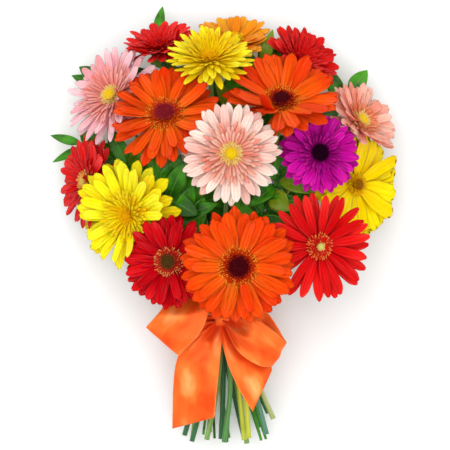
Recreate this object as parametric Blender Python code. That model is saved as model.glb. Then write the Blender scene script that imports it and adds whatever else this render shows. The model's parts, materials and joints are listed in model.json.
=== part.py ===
"""Gerbera bouquet: sixteen blooms and eleven sprays of ruscus, tied with one satin ribbon.

The bunch lies on its back. The blooms face up (+Z), their heads point to +Y and the cut
stems to -Y. Tables and lengths are in millimetres, measured from the middle of the tie,
and the meshes are made in metres, moved so that the origin is under the middle of the bunch.
"""
import math
import random

import bmesh
import bpy
import numpy as np
from mathutils import Matrix, Quaternion, Vector
from mathutils.bvhtree import BVHTree

# Driving dimensions
MM = 0.001
GROUND = -29.5
ORIGIN = Vector((-0.8, 98.0, GROUND))
GAP = 0.3
CLEAR = 0.45

STEM_RADIUS = 2.5
TWIG_RADIUS = 1.4
STEM_PITCH = 0.5
STEM_SIDES = 6
TWIG_SIDES = 4
TIE_HALF = 15.0
FAN_ACROSS = 3.7
FAN_DEPTH = 1.05
FAN_SHIFT = 12.0
FAN_TWIST = math.radians(24)
STEM_REACH = 126.0
# stems that end further to the right than CUT_FROM are cut shorter, by CUT_SLOPE times the rest
CUT_FROM = 40.0
CUT_SLOPE = 1.1
NECK = 18.0

CORE_RADIUS = 10.0
CORE_DEPTH = 5.6
CORE_TOP = 2.4
# radius, height and turn in steps of each ring of the core, from the bottom
CORE_RINGS = [
    (CORE_RADIUS * 0.97, -CORE_DEPTH, 0.5),
    (CORE_RADIUS * 0.97, -2.6, 0.5),
    (CORE_RADIUS, -2.1, 0.0),
    (CORE_RADIUS, 0.5, 0.0),
    (CORE_RADIUS * 0.86, 1.0, 0.5),
    (CORE_RADIUS * 0.82, CORE_TOP, 0.5),
]
EYE_SIDES = 10
FLORET_REACH = 8.0
FLORET_RISE = 3.2
# height and radius of the green cup of bracts below the eye, from the neck up
CALYX = [(-NECK * 0.82, 4.4), (-NECK * 0.6, 8.2), (-CORE_DEPTH - GAP, 9.8)]
PETAL_THICK = 1.3
PETAL_ROOT = 4.0
# for the upper and the lower layer: depth below the eye, extra lift in degrees, share of the reach
LAYER_DROPS = (0.8, 4.0)
LAYER_LIFTS = (4, -4)
LAYER_REACHES = (0.94, 1.0)

LEAF_THICK = 1.1
# leaves of a spray that lies on the surface: how many, share of the twig between them, and size
RESTING_LEAVES = 8
RESTING_STEP = 0.085
RESTING_LENGTH = 44.0
RESTING_WIDTH = 20.0
RIBBON_THICK = 0.9
RIBBON_COLOUR = (0.95, 0.25, 0.03)
LEAF_COLOUR = (0.05, 0.2, 0.03)
STEM_COLOUR = (0.16, 0.36, 0.08)


class Bloom:
    """One gerbera: where its eye is, where it faces and how its petals are set."""

    def __init__(self, name, place, faces, radius, cup, sway, count, width, colour, eye, eye_radius):
        self.name = name
        self.place = Vector(place)
        self.faces = Vector(faces).normalized()
        self.radius = radius
        self.cup = math.radians(cup)
        self.sway = math.radians(sway)
        self.count = count
        # where the first petal starts, in radians, so that no two blooms are set alike
        self.turn = radius * 0.37
        self.width = width
        self.colour = colour
        self.eye = eye
        self.eye_radius = eye_radius

    def frame(self):
        """Matrix from the bloom's own axes, with +Z out of its face and +Y uppermost."""
        up = Vector((0, 1, 0)) - self.faces * self.faces.y
        if up.length < 0.2:
            up = Vector((0, 0, -1)) + self.faces * self.faces.z
        up.normalize()
        right = up.cross(self.faces)
        matrix = Matrix((right, up, self.faces)).transposed().to_4x4()
        matrix.translation = self.place
        return matrix


ORANGE = (0.95, 0.2, 0.01)
AMBER = (0.98, 0.45, 0.01)
RED = (0.8, 0.01, 0.01)
YELLOW = (0.98, 0.75, 0.01)
PINK = (0.98, 0.5, 0.42)
SALMON = (0.97, 0.36, 0.26)
MAGENTA = (0.5, 0.005, 0.28)
DARK_EYE = (0.07, 0.01, 0.01)
GOLD_EYE = (0.75, 0.5, 0.05)
CREAM_EYE = (0.9, 0.78, 0.3)

# name, place of the eye, way it faces, radius, cup and sway in degrees,
# petals in each layer, petal width, colour, eye colour, eye radius
BLOOMS = [
    Bloom("orange_front", (14, 57, 106), (0.04, -0.06, 1), 58, 3, 3, 11, 13.0, ORANGE, DARK_EYE, 10.5),
    Bloom("pink_middle", (7, 166, 102), (0, 0.05, 1), 51, 3, 3, 12, 10.0, PINK, CREAM_EYE, 8.5),
    Bloom("red_right", (94, 76, 80), (0.25, -0.05, 0.97), 56, 4, 2, 11, 10.5, RED, GOLD_EYE, 8.0),
    Bloom("orange_left", (-58, 206, 78), (-0.08, 0.6, 0.8), 56, 5, 14, 11, 12.5, ORANGE, DARK_EYE, 10.0),
    Bloom("orange_right", (57, 219, 70), (0, 0.66, 0.75), 59, 18, 2, 10, 14.0, ORANGE, DARK_EYE, 10.0),
    Bloom("magenta", (94, 168, 74), (0.2, 0.12, 0.97), 42, 6, 2, 11, 9.5, MAGENTA, DARK_EYE, 8.0),
    Bloom("red_low_left", (-54, 61, 78), (-0.3, 0, 0.95), 49, 5, 3, 11, 11.5, RED, GOLD_EYE, 9.0),
    Bloom("yellow_left", (-96, 107, 60), (-0.46, -0.14, 0.88), 59, 6, 3, 12, 11.0, YELLOW, GOLD_EYE, 9.0),
    Bloom("yellow_top", (-14, 263, 60), (0, 0.72, 0.69), 46, 8, 2, 12, 8.5, YELLOW, GOLD_EYE, 8.0),
    Bloom("yellow_right", (133, 138, 42), (0.58, 0, 0.81), 55, 7, 0, 11, 12.0, YELLOW, GOLD_EYE, 8.0),
    Bloom("pink_left", (-113, 227, 42), (-0.52, 0.38, 0.77), 55, 8, 2, 11, 10.0, PINK, CREAM_EYE, 8.0),
    Bloom("red_left", (-139, 141, 34), (-0.82, 0.05, 0.57), 49, 6, 0, 10, 10.5, RED, GOLD_EYE, 8.0),
    Bloom("salmon_right", (138, 202, 34), (0.6, 0.45, 0.66), 45, 12, 0, 10, 10.0, SALMON, CREAM_EYE, 7.0),
    Bloom("red_top_left", (-66, 279, 30), (-0.2, 0.8, 0.57), 40, 18, 0, 10, 10.0, RED, GOLD_EYE, 7.5),
    Bloom("red_top_right", (78, 266, 24), (0.42, 0.6, 0.68), 43, 14, 0, 10, 10.0, RED, GOLD_EYE, 7.5),
    Bloom("amber_top", (9, 286, 14), (-0.04, 0.8, 0.6), 42, 16, 0, 10, 10.5, AMBER, GOLD_EYE, 7.0),
]

# name, end of the twig, and its leaves: share of the twig where one grows, place of its tip, width.
# The leaves of a spray without such a list lie on the surface.
SPRAYS = [
    ("ruscus_top_left", (-69, 290, 4), [
        (1.0, (-64, 327, 8), 12),
        (0.9, (-50, 270, 38), 10),
        (0.84, (-36, 262, 14), 20),
        (0.8, (-96, 262, 4), 18),
        (0.86, (-74, 272, 18), 20),
    ]),
    ("ruscus_upper_left", (-126, 246, -10), [
        (1.0, (-152, 263, -14), 16),
        (0.97, (-160, 254, -15), 14),
        (0.9, (-92, 238, 22), 18),
        (0.84, (-130, 204, 14), 18),
    ]),
    ("ruscus_left", (-148, 182, 4), [
        (1.0, (-180, 190, 4), 10),
        (0.98, (-180, 162, 2), 9),
        (0.97, (-147, 204, 8), 9),
        (0.94, (-134, 200, 12), 16),
        (0.86, (-160, 150, 0), 16),
        (0.8, (-122, 176, 18), 20),
    ]),
    ("ruscus_inner_left", (-97, 157, 38), [
        (1.0, (-118, 198, 34), 18),
        (0.98, (-78, 176, 46), 18),
        (0.97, (-124, 181, 26), 18),
        (0.95, (-126, 162, 32), 17),
        (0.86, (-64, 156, 42), 20),
    ]),
    ("ruscus_top", (40, 262, 20), [
        (1.0, (50, 297, 18), 14),
        (0.99, (60, 292, 32), 18),
        (0.98, (82, 306, 0), 13),
        (0.97, (51, 306, 6), 17),
        (0.96, (73, 272, 36), 10),
        (0.9, (22, 286, 24), 20),
        (0.7, (-10, 246, 34), 22),
        (0.74, (66, 236, 30), 20),
    ]),
    ("ruscus_upper_right", (130, 235, 0), [
        (1.0, (149, 258, 0), 18),
        (0.95, (104, 262, 4), 18),
        (0.88, (104, 226, 24), 20),
        (0.8, (144, 180, 12), 18),
        (0.74, (62, 188, GROUND), 22),
        (0.58, (80, 118, GROUND), 20),
        (0.5, (62, 60, GROUND), 18),
    ]),
    ("ruscus_middle_left", (-62, 134, 62), [
        (1.0, (-74, 165, 62), 18),
        (0.98, (-42, 168, 66), 21),
        (0.92, (-26, 107, 68), 23),
        (0.76, (-6, 118, 64), 17),
        (0.86, (-76, 112, 50), 20),
        (0.9, (-34, 150, 54), 24),
        (0.82, (-16, 138, 60), 20),
    ]),
    ("ruscus_middle_right", (56, 147, 60), [
        (1.0, (73, 160, 66), 15),
        (0.99, (94, 141, 66), 15),
        (0.97, (92, 128, 62), 15),
        (0.93, (26, 116, 72), 16),
        (0.88, (66, 111, 66), 22),
        (0.98, (63, 176, 58), 19),
        (0.95, (42, 190, 50), 20),
    ]),
    ("ruscus_back_left", (-92, 150, -20), []),
    ("ruscus_back_right", (106, 134, 34), [
        (1.0, (131, 122, 52), 13),
        (0.96, (121, 103, 42), 18),
        (0.92, (98, 164, 32), 20),
        (0.86, (74, 138, 44), 22),
        (0.78, (52, 124, 44), 24),
        (0.66, (36, 108, 36), 26),
        (0.72, (88, 100, 22), 22),
    ]),
    ("ruscus_back", (0, 214, 22), [
        (1.0, (28, 271, 44), 26),
        (0.98, (-10, 250, 32), 24),
        (0.93, (44, 204, 40), 20),
        (0.88, (-38, 190, 38), 22),
        (0.8, (48, 168, 40), 24),
        (0.74, (-42, 150, 30), 24),
        (0.66, (36, 132, 30), 24),
        (0.6, (-22, 120, 36), 24),
    ]),
]


def clear_scene():
    for thing in list(bpy.data.objects):
        bpy.data.objects.remove(thing, do_unlink=True)


def material(name, colour, roughness=0.5):
    made = bpy.data.materials.get(name) or bpy.data.materials.new(name)
    made.use_nodes = True
    shader = made.node_tree.nodes["Principled BSDF"]
    shader.inputs["Base Color"].default_value = (*colour, 1)
    shader.inputs["Roughness"].default_value = roughness
    return made


def solid(name, points, faces, paint):
    """One object from points in millimetres and faces, turned outwards."""
    bm = bmesh.new()
    made = [bm.verts.new((point - ORIGIN) * MM) for point in points]
    for face in faces:
        bm.faces.new([made[i] for i in face])
    bmesh.ops.recalc_face_normals(bm, faces=bm.faces)
    bmesh.ops.triangulate(bm, faces=bm.faces)
    mesh = bpy.data.meshes.new(name)
    bm.to_mesh(mesh)
    bm.free()
    mesh.materials.append(paint)
    thing = bpy.data.objects.new(name, mesh)
    bpy.context.scene.collection.objects.link(thing)
    return thing


def fuse(thing, parts):
    """Join the solids in parts to thing by one Boolean union, and remove them."""
    group = bpy.data.collections.new(thing.name + "_parts")
    bpy.context.scene.collection.children.link(group)
    for number, (points, faces) in enumerate(parts):
        extra = solid(f"{thing.name}_{number}", points, faces, thing.data.materials[0])
        bpy.context.scene.collection.objects.unlink(extra)
        group.objects.link(extra)
    union = thing.modifiers.new("union", "BOOLEAN")
    union.operation = "UNION"
    union.operand_type = "COLLECTION"
    union.collection = group
    least = sum(volume(points, faces) for points, faces in parts) * MM ** 3 * 0.6
    for solver in ("EXACT", "MANIFOLD"):
        union.solver = solver
        bpy.context.view_layer.update()
        result = bpy.data.meshes.new_from_object(
            thing.evaluated_get(bpy.context.evaluated_depsgraph_get()))
        if keep_largest(result, least):
            break
    thing.modifiers.remove(union)
    thing.data = result
    for extra in list(group.objects):
        bpy.data.objects.remove(extra, do_unlink=True)
    bpy.data.collections.remove(group)


def volume(points, faces):
    """Volume of a solid whose faces are turned outwards or inwards alike."""
    bm = bmesh.new()
    made = [bm.verts.new(point) for point in points]
    for face in faces:
        bm.faces.new([made[i] for i in face])
    bmesh.ops.recalc_face_normals(bm, faces=bm.faces)
    size = abs(bm.calc_volume())
    bm.free()
    return size


def keep_largest(mesh, least):
    """Drop any scrap that the union left loose, and say whether the rest is sound."""
    bm = bmesh.new()
    bm.from_mesh(mesh)
    bmesh.ops.triangulate(bm, faces=bm.faces)
    seen = set()
    islands = []
    for start in bm.verts:
        if start in seen:
            continue
        island = []
        queue = [start]
        seen.add(start)
        while queue:
            vert = queue.pop()
            island.append(vert)
            for edge in vert.link_edges:
                other = edge.other_vert(vert)
                if other not in seen:
                    seen.add(other)
                    queue.append(other)
        islands.append(island)
    islands.sort(key=len)
    for island in islands[:-1]:
        bmesh.ops.delete(bm, geom=island, context="VERTS")
    closed = all(len(edge.link_faces) == 2 for edge in bm.edges) and bm.calc_volume() > least
    bm.to_mesh(mesh)
    bm.free()
    return closed


def blade(start, sections, end):
    """Closed slim blade between two points, through four-cornered sections."""
    points = [start]
    faces = []
    for centre, side, up, half_width, half_thick in sections:
        points.append(centre - side * half_width)
        points.append(centre - up * half_thick)
        points.append(centre + side * half_width)
        points.append(centre + up * half_thick)
    points.append(end)
    last = len(points) - 1
    for k in range(4):
        n = (k + 1) % 4
        faces.append((0, 1 + k, 1 + n))
        faces.append((last, last - 4 + n, last - 4 + k))
    for row in range(len(sections) - 1):
        first = 1 + row * 4
        for k in range(4):
            n = (k + 1) % 4
            faces.append((first + k, first + 4 + k, first + 4 + n))
            faces.append((first + k, first + 4 + n, first + n))
    return points, faces


def petal_rows(matrix, angle, lift, curl, reach, width, drop, swell):
    """Two four-cornered rows and the tip of a ray petal."""
    steps = [0.0, 0.42, 0.84, 1.0]
    length = reach - PETAL_ROOT
    spots = []
    radius = PETAL_ROOT
    height = -drop
    for k, step in enumerate(steps):
        slope = lift + curl * step
        if k:
            run = (step - steps[k - 1]) * length
            radius += run * math.cos(slope)
            height += run * math.sin(slope)
        spots.append((radius, height, slope))
    out = Vector((math.cos(angle), math.sin(angle), 0))
    side = Vector((-math.sin(angle), math.cos(angle), 0))
    up = Vector((0, 0, 1))
    points = [matrix @ (out * r + up * h) for r, h, slope in spots]
    turn = matrix.to_3x3()
    sections = []
    for k, share in ((1, 0.92), (2, 1.0)):
        slope = spots[k][2]
        normal = up * math.cos(slope) - out * math.sin(slope)
        half_width = width * share / 2 + swell
        sections.append((points[k], turn @ side, turn @ normal, half_width, PETAL_THICK / 2 + swell))
    tip = points[3] + (points[3] - points[2]).normalized() * swell
    return sections, tip


def flower_head(bloom, petals):
    """Petals and short florets raised from the facets of one core, as a single solid.

    The core is a stack of three prisms: the lower layer of petals, the upper one and the
    crown of florets. Each petal grows from its own facet.
    """
    matrix = bloom.frame()
    sides = bloom.count
    points = []
    faces = []
    rings = []
    for radius, height, shift in CORE_RINGS:
        ring = []
        for k in range(sides):
            angle = bloom.turn + math.tau * (k + shift) / sides
            ring.append(len(points))
            points.append(matrix @ Vector((radius * math.cos(angle), radius * math.sin(angle), height)))
        rings.append(ring)
    faces.append(tuple(rings[0]))
    faces.append(tuple(rings[-1]))
    for low, high in ((1, 2), (3, 4)):
        for k in range(sides):
            n = (k + 1) % sides
            step = 0 if CORE_RINGS[high][2] else 1
            faces.append((rings[low][k], rings[low][n], rings[high][(k + step) % sides]))
            back = (k + step - 1) % sides
            faces.append((rings[low][k], rings[high][(k + step) % sides], rings[high][back]))
    for layer, (low, high) in enumerate(((2, 3), (0, 1))):
        for k in range(sides):
            n = (k + 1) % sides
            corners = (rings[low][k], rings[low][n], rings[high][n], rings[high][k])
            rows = petals[layer][k]
            if rows is None:
                faces.append(corners)
            else:
                raise_petal(points, faces, corners, rows)
    for k in range(sides):
        n = (k + 1) % sides
        tip = len(points)
        points.append(floret_tip(bloom, k))
        corners = (rings[4][k], rings[4][n], rings[5][n], rings[5][k])
        for i in range(4):
            faces.append((corners[i], corners[(i + 1) % 4], tip))
    return points, faces


def raise_petal(points, faces, corners, rows):
    """Carry a facet of the core out through the rows of a petal to its tip."""
    sections, tip = rows
    first = len(points)
    for centre, side, up, half_width, half_thick in sections:
        points.append(centre - side * half_width)
        points.append(centre - up * half_thick)
        points.append(centre + side * half_width)
        points.append(centre + up * half_thick)
    points.append(tip)
    low_near, low_far, high_far, high_near = corners
    left, bottom, right, top = range(first, first + 4)
    faces.append((high_near, left, low_near))
    faces.append((low_near, bottom, low_far))
    faces.append((low_far, right, high_far))
    faces.append((high_far, top, high_near))
    faces.append((left, bottom, low_near))
    faces.append((bottom, right, low_far))
    faces.append((right, top, high_far))
    faces.append((top, left, high_near))
    for row in range(len(sections) - 1):
        base = first + row * 4
        for k in range(4):
            n = (k + 1) % 4
            faces.append((base + k, base + 4 + k, base + 4 + n))
            faces.append((base + k, base + 4 + n, base + n))
    last = len(points) - 1
    for k in range(4):
        faces.append((last, last - 4 + (k + 1) % 4, last - 4 + k))


def facet_angle(bloom, k, shift):
    return bloom.turn + math.tau * (k + shift + 0.5) / bloom.count


def floret_tip(bloom, k):
    """Tip of a short floret of the crown, which rises a little above the petals."""
    angle = facet_angle(bloom, k, 0.5)
    lift = max(bloom.cup + bloom.sway * math.sin(angle), 0)
    reach = bloom.eye_radius + FLORET_REACH
    height = FLORET_RISE + reach * 0.45 * math.tan(lift)
    return bloom.frame() @ Vector((reach * math.cos(angle), reach * math.sin(angle), height))


def turned(matrix, rings, sides):
    """Solid of rings given as (radius, height) or lists of them, closed by end points."""
    points = []
    faces = []
    for ring in rings:
        for k in range(sides):
            radius, height = ring[k % len(ring)] if isinstance(ring, list) else ring
            angle = math.tau * k / sides
            points.append(matrix @ Vector((radius * math.cos(angle), radius * math.sin(angle), height)))
    for row in range(len(rings) - 1):
        for k in range(sides):
            n = (k + 1) % sides
            faces.append((row * sides + k, row * sides + n, row * sides + sides + n))
            faces.append((row * sides + k, row * sides + sides + n, row * sides + sides + k))
    faces.append(tuple(range(sides)))
    faces.append(tuple(range(len(points) - sides, len(points))))
    return points, faces


def tube(path, radii, sides):
    """Closed tube along a path, its sections turned with it."""
    points = []
    faces = []
    side = Vector((1, 0, 0))
    for k, spot in enumerate(path):
        ahead = path[min(k + 1, len(path) - 1)]
        behind = path[max(k - 1, 0)]
        along = (ahead - behind).normalized()
        side = (side - along * side.dot(along)).normalized()
        other = along.cross(side)
        for n in range(sides):
            angle = math.tau * n / sides
            points.append(spot + (side * math.cos(angle) + other * math.sin(angle)) * radii[k])
    for row in range(len(path) - 1):
        for k in range(sides):
            n = (k + 1) % sides
            faces.append((row * sides + k, row * sides + n, row * sides + sides + n))
            faces.append((row * sides + k, row * sides + sides + n, row * sides + sides + k))
    faces.append(tuple(range(sides)))
    faces.append(tuple(range(len(points) - sides, len(points))))
    return points, faces


# Routes of the stems
TIE_STEPS = 700
TIE_SETTLE_STEPS = 60
TIE_PULL = 0.985
SPIRAL_APEX = 70.0
ROUTE_POINTS = 36
ROUTE_STEPS = 260
ROUTE_HANDLES = (0.35, 0.4)
ROUTE_SPARE = 1.4
STEM_SPOTS = 8
# how far behind a bloom's eye other stems pass: under its petals, and near its own neck
BEHIND_PETALS = 9.0
BEHIND_NECK = NECK + 12.0
NECK_ROOM = CORE_RADIUS + 6.0
BLOOM_FRONT = 16.0


def tie_spots(goals, radii):
    """Where each stem passes the tie, so that the round stems lie side by side."""
    apex = SPIRAL_APEX
    spots = np.array([(apex * g.x / (g.y + apex), apex * g.z / (g.y + apex)) for g in goals])
    spots = spots - spots.mean(axis=0)
    spots = spots * (TIE_HALF / np.abs(spots).max())
    wide = np.array(radii)
    keep = wide[:, None] + wide[None, :] + STEM_PITCH
    for step in range(TIE_STEPS + TIE_SETTLE_STEPS):
        if step < TIE_STEPS:
            spots = spots * TIE_PULL
        away = spots[:, None, :] - spots[None, :, :]
        gap = np.sqrt((away ** 2).sum(axis=2)) + np.eye(len(spots)) * 1000
        short = np.clip(keep - gap, 0, None)
        spots = spots + (away / gap[:, :, None] * short[:, :, None]).sum(axis=1) * 0.5
    return spots


def fan_point(spot, depth):
    """The place of a stem that passes the tie at spot, depth below the tie."""
    share = max(depth - TIE_HALF, 0) / (STEM_REACH - TIE_HALF)
    turn = FAN_TWIST * share
    across = spot[0] * math.cos(turn) - spot[1] * math.sin(turn)
    deep = spot[0] * math.sin(turn) + spot[1] * math.cos(turn)
    x = across * (1 + FAN_ACROSS * share) + FAN_SHIFT * share
    z = deep * (1 + FAN_DEPTH * share)
    return Vector((x, -depth, z))


def bezier(p0, p1, p2, p3, t):
    s = 1 - t
    return p0 * s ** 3 + p1 * 3 * s * s * t + p2 * 3 * s * t * t + p3 * t ** 3


def upper_routes(goals, arrivals, spots, radii):
    """Stems above the tie, pushed apart and kept behind the other blooms."""
    routes = []
    for goal, arrival, spot in zip(goals, arrivals, spots):
        start = Vector((spot[0], TIE_HALF, spot[1]))
        reach = (goal - start).length
        ahead = Vector((spot[0] * 0.03, 1, spot[1] * 0.03)).normalized()
        low = start + ahead * reach * ROUTE_HANDLES[0]
        high = goal - arrival * reach * ROUTE_HANDLES[1]
        bend = [bezier(start, low, high, goal, k / (ROUTE_POINTS - 1)) for k in range(ROUTE_POINTS)]
        routes.append([tuple(p) for p in bend])
    routes = np.array(routes)
    owner = np.repeat(np.arange(len(goals)), ROUTE_POINTS)
    wide = np.repeat(np.array(radii), ROUTE_POINTS)
    keep = wide[:, None] + wide[None, :] + STEM_PITCH + ROUTE_SPARE
    keep = np.where(owner[:, None] == owner[None, :], 0, keep)
    hold = np.zeros(routes.shape[:2], bool)
    hold[:, :3] = True
    hold[:len(BLOOMS), -3:] = True
    hold[:, -1] = True
    for step in range(ROUTE_STEPS):
        flat = routes.reshape(-1, 3)
        away = flat[:, None, :] - flat[None, :, :]
        gap = np.sqrt((away ** 2).sum(axis=2)) + 1e-6
        short = np.clip(keep - gap, 0, None)
        shift = (away / gap[:, :, None] * short[:, :, None]).sum(axis=1) * 0.35
        shift = shift.reshape(routes.shape) + bloom_push(routes)
        smooth = np.zeros_like(routes)
        smooth[:, 1:-1] = (routes[:, :-2] + routes[:, 2:]) / 2 - routes[:, 1:-1]
        ease = 0.3 if step < ROUTE_STEPS * 0.8 else 0.1
        move = shift + smooth * ease
        move[hold] = 0
        routes = routes + move
        routes[:, :, 2] = np.maximum(routes[:, :, 2], GROUND + 4)
    return [[Vector(p) for p in route] for route in routes]


def bloom_push(routes):
    """Move of route points that lie within another bloom, back behind it."""
    shift = np.zeros_like(routes)
    for number, bloom in enumerate(BLOOMS):
        face = np.array(bloom.faces)
        rel = routes - np.array(bloom.place)
        height = rel @ face
        flat = rel - height[:, :, None] * face
        radius = np.sqrt((flat ** 2).sum(axis=2))
        floor = np.where(radius < NECK_ROOM, -BEHIND_NECK, -BEHIND_PETALS)
        inside = (radius < bloom.radius + 3) & (height > floor) & (height < BLOOM_FRONT)
        inside[number] = False
        short = np.where(inside, height - floor, 0)
        shift = shift - (short * 0.25)[:, :, None] * face
    return shift


def stem_end(spot, rng):
    """How far below the tie a stem is cut: shorter to the right, as gathered."""
    far = fan_point(spot, STEM_REACH)
    return STEM_REACH - max(far.x - CUT_FROM, 0) * CUT_SLOPE - rng.uniform(-4, 9)


def whole_route(spot, upper, depth):
    """Path from the cut end through the tie to the top of a stem."""
    path = [fan_point(spot, depth)]
    path.append(fan_point(spot, (depth + TIE_HALF) / 2))
    path.append(fan_point(spot, TIE_HALF))
    last = len(upper) - 1
    path += [upper[round(last * k / (STEM_SPOTS - 1))] for k in range(STEM_SPOTS)]
    return path


def rest_on_surface(points):
    """Flatten what would dip below the surface that the bunch lies on."""
    return [Vector((p.x, p.y, max(p.z, GROUND))) for p in points]


# Obstacles, for bending petals and leaves clear
class Obstacle:
    def __init__(self, points, faces):
        self.tree = BVHTree.FromPolygons(points, faces)
        self.low = Vector([min(p[k] for p in points) for k in range(3)])
        self.high = Vector([max(p[k] for p in points) for k in range(3)])

    def hits(self, other):
        for k in range(3):
            if self.low[k] > other.high[k] or self.high[k] < other.low[k]:
                return False
        return bool(self.tree.overlap(other.tree))


def joined(parts):
    points = []
    faces = []
    for some_points, some_faces in parts:
        base = len(points)
        points += some_points
        faces += [tuple(i + base for i in face) for face in some_faces]
    return Obstacle(points, faces)


def bent_clear(make, obstacles, bends, shrinks):
    """The first bend and shrink for which make(bend, shrink, swell) clears every obstacle."""
    for shrink in shrinks:
        for bend in bends:
            trial = Obstacle(*make(bend, shrink, CLEAR))
            if trial.low.z < GROUND - CLEAR - 0.01:
                continue
            if not any(trial.hits(other) for other in obstacles):
                return bend, shrink
    return None


PETAL_BENDS = [math.radians(a) for a in (0, 4, -4, 8, -8, 13, -13, 18, -18, 24, -24, 32, -32, 42)]
PETAL_SHRINKS = (1.0, 0.92, 0.82, 0.72, 0.6, 0.5)


def bloom_petals(bloom, others, rng):
    """Both layers of ray petals, each bent clear of what is already there."""
    matrix = bloom.frame()
    own = [crown_guard(bloom)]
    whole = []
    layers = []
    for layer in range(2):
        rows = []
        shift = 0 if layer == 0 else 0.5
        for k in range(bloom.count):
            angle = facet_angle(bloom, k, shift) + math.radians(rng.uniform(-2, 2))
            lift = bloom.cup + bloom.sway * math.sin(angle) + math.radians(rng.uniform(-1.5, 1.5))
            lift += math.radians(LAYER_LIFTS[layer])
            reach = bloom.radius * (1 - 0.05 * rng.random()) * LAYER_REACHES[layer]
            width = bloom.width * rng.uniform(0.92, 1.04)
            curl = math.radians(rng.uniform(-10, -2))
            drop = LAYER_DROPS[layer]

            def shape_rows(bend, shrink, swell):
                return petal_rows(matrix, angle, lift + bend * 0.3, curl + bend, reach * shrink,
                                  width * shrink, drop, swell)

            def make(bend, shrink, swell):
                points = facet_corners(bloom, layer, k)
                faces = [(0, 1, 2, 3)]
                raise_petal(points, faces, (0, 1, 2, 3), shape_rows(bend, shrink, swell))
                return points, faces

            choice = bent_clear(make, others + own, PETAL_BENDS, PETAL_SHRINKS)
            if choice is None:
                rows.append(None)
                continue
            rows.append(shape_rows(*choice, 0.0))
            own.append(outer_part(make(*choice, 0.0), 4))
            whole.append(Obstacle(*make(*choice, 0.0)))
        layers.append(rows)
        own = own[:1] + whole
    return layers


def facet_corners(bloom, layer, k):
    """The corners of the core's facet that petal k of a layer grows from."""
    matrix = bloom.frame()
    corners = []
    low, high = ((2, 3), (0, 1))[layer]
    for ring, step in ((low, 0), (low, 1), (high, 1), (high, 0)):
        radius, height, shift = CORE_RINGS[ring]
        angle = bloom.turn + math.tau * (k + step + shift) / bloom.count
        corners.append(matrix @ Vector((radius * math.cos(angle), radius * math.sin(angle), height)))
    return corners


def outer_part(shape, base):
    """A shape without the faces at its first points, for tests against its own kind."""
    points, faces = shape
    return Obstacle(points, [face for face in faces if min(face) >= base])


def crown_guard(bloom):
    """Closed cone round the crown of florets, which the petals stay under."""
    tips = [floret_tip(bloom, k) for k in range(bloom.count)]
    middle = bloom.frame() @ Vector((0, 0, 1.5))
    high = bloom.frame() @ Vector((0, 0, 8))
    count = len(tips)
    faces = []
    for k in range(count):
        n = (k + 1) % count
        faces.append((k, n, count))
        faces.append((n, k, count + 1))
    return Obstacle(tips + [middle, high], faces)


def bloom_eye(bloom):
    """Domed disc of close florets, as a relief of alternate bumps."""
    r = bloom.eye_radius
    low = CORE_TOP + GAP
    rings = [
        (r * 0.62, low),
        (r * 0.66, low + 1.6),
        [(r * 1.0, low + 3.4), (r * 0.9, low + 2.6)],
        [(r * 0.66, low + 4.0), (r * 0.72, low + 5.2)],
        [(r * 0.34, low + 4.9), (r * 0.3, low + 3.9)],
    ]
    return turned(bloom.frame(), rings, EYE_SIDES)


def bloom_stem(bloom, path):
    """Stem, neck and the green cup of bracts under the petals, in one."""
    radii = [STEM_RADIUS] * len(path)
    for height, radius in CALYX:
        path = path + [bloom.place + bloom.faces * height]
        radii.append(radius)
    return tube(path, radii, STEM_SIDES)


def leaf(base, along, side, length, width, arch, swell=0.0):
    """Pointed oval leaf, folded a little along its midrib."""
    up = side.cross(along).normalized()
    sections = []
    for share, wide, rise in ((0.22, 0.72, 0.4), (0.52, 1.0, 0.8), (0.8, 0.58, 0.7)):
        centre = base + along * (length * share) + up * (arch * rise)
        sections.append((centre, side, up, width * wide / 2 + swell, LEAF_THICK / 2 + swell))
    return blade(base, sections, base + along * (length + swell))


LEAF_BENDS = [math.radians(a) for a in (0, 12, -12, 24, -24, 38, -38, 54, -54, 70, -70, 90, -90)]
LEAF_SHRINKS = (1.0, 0.85, 0.7, 0.55)


def twig_spot(path, share):
    """Place and direction of a twig at a share of its length."""
    spot = (len(path) - 1) * share
    index = min(int(spot), len(path) - 2)
    place = path[index].lerp(path[index + 1], min(spot - index, 0.99))
    return place, (path[index + 1] - path[index]).normalized()


def aimed_leaves(path, aims, others, rng):
    """Leaves whose tips show at given places among the blooms, or lie on the surface."""
    made = []
    own = []
    for share, tip, width in aims:
        base, along = twig_spot(path, share)
        reach = Vector(tip) - base
        across = reach.cross(Vector((0, 0, 1))).normalized()
        roll = math.radians(rng.uniform(-18, 18))
        arch = rng.uniform(1.0, 3.5)

        def make(bend, shrink, swell):
            way = (Quaternion(across, bend) @ reach).normalized()
            side = Quaternion(way, roll) @ across
            return leaf(base, way, side, reach.length * shrink, width * shrink, arch, swell)

        resting = [resting_bend(make)] if tip[2] <= GROUND else []
        grow(make, resting + LEAF_BENDS, others, made, own)
    return made


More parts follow.
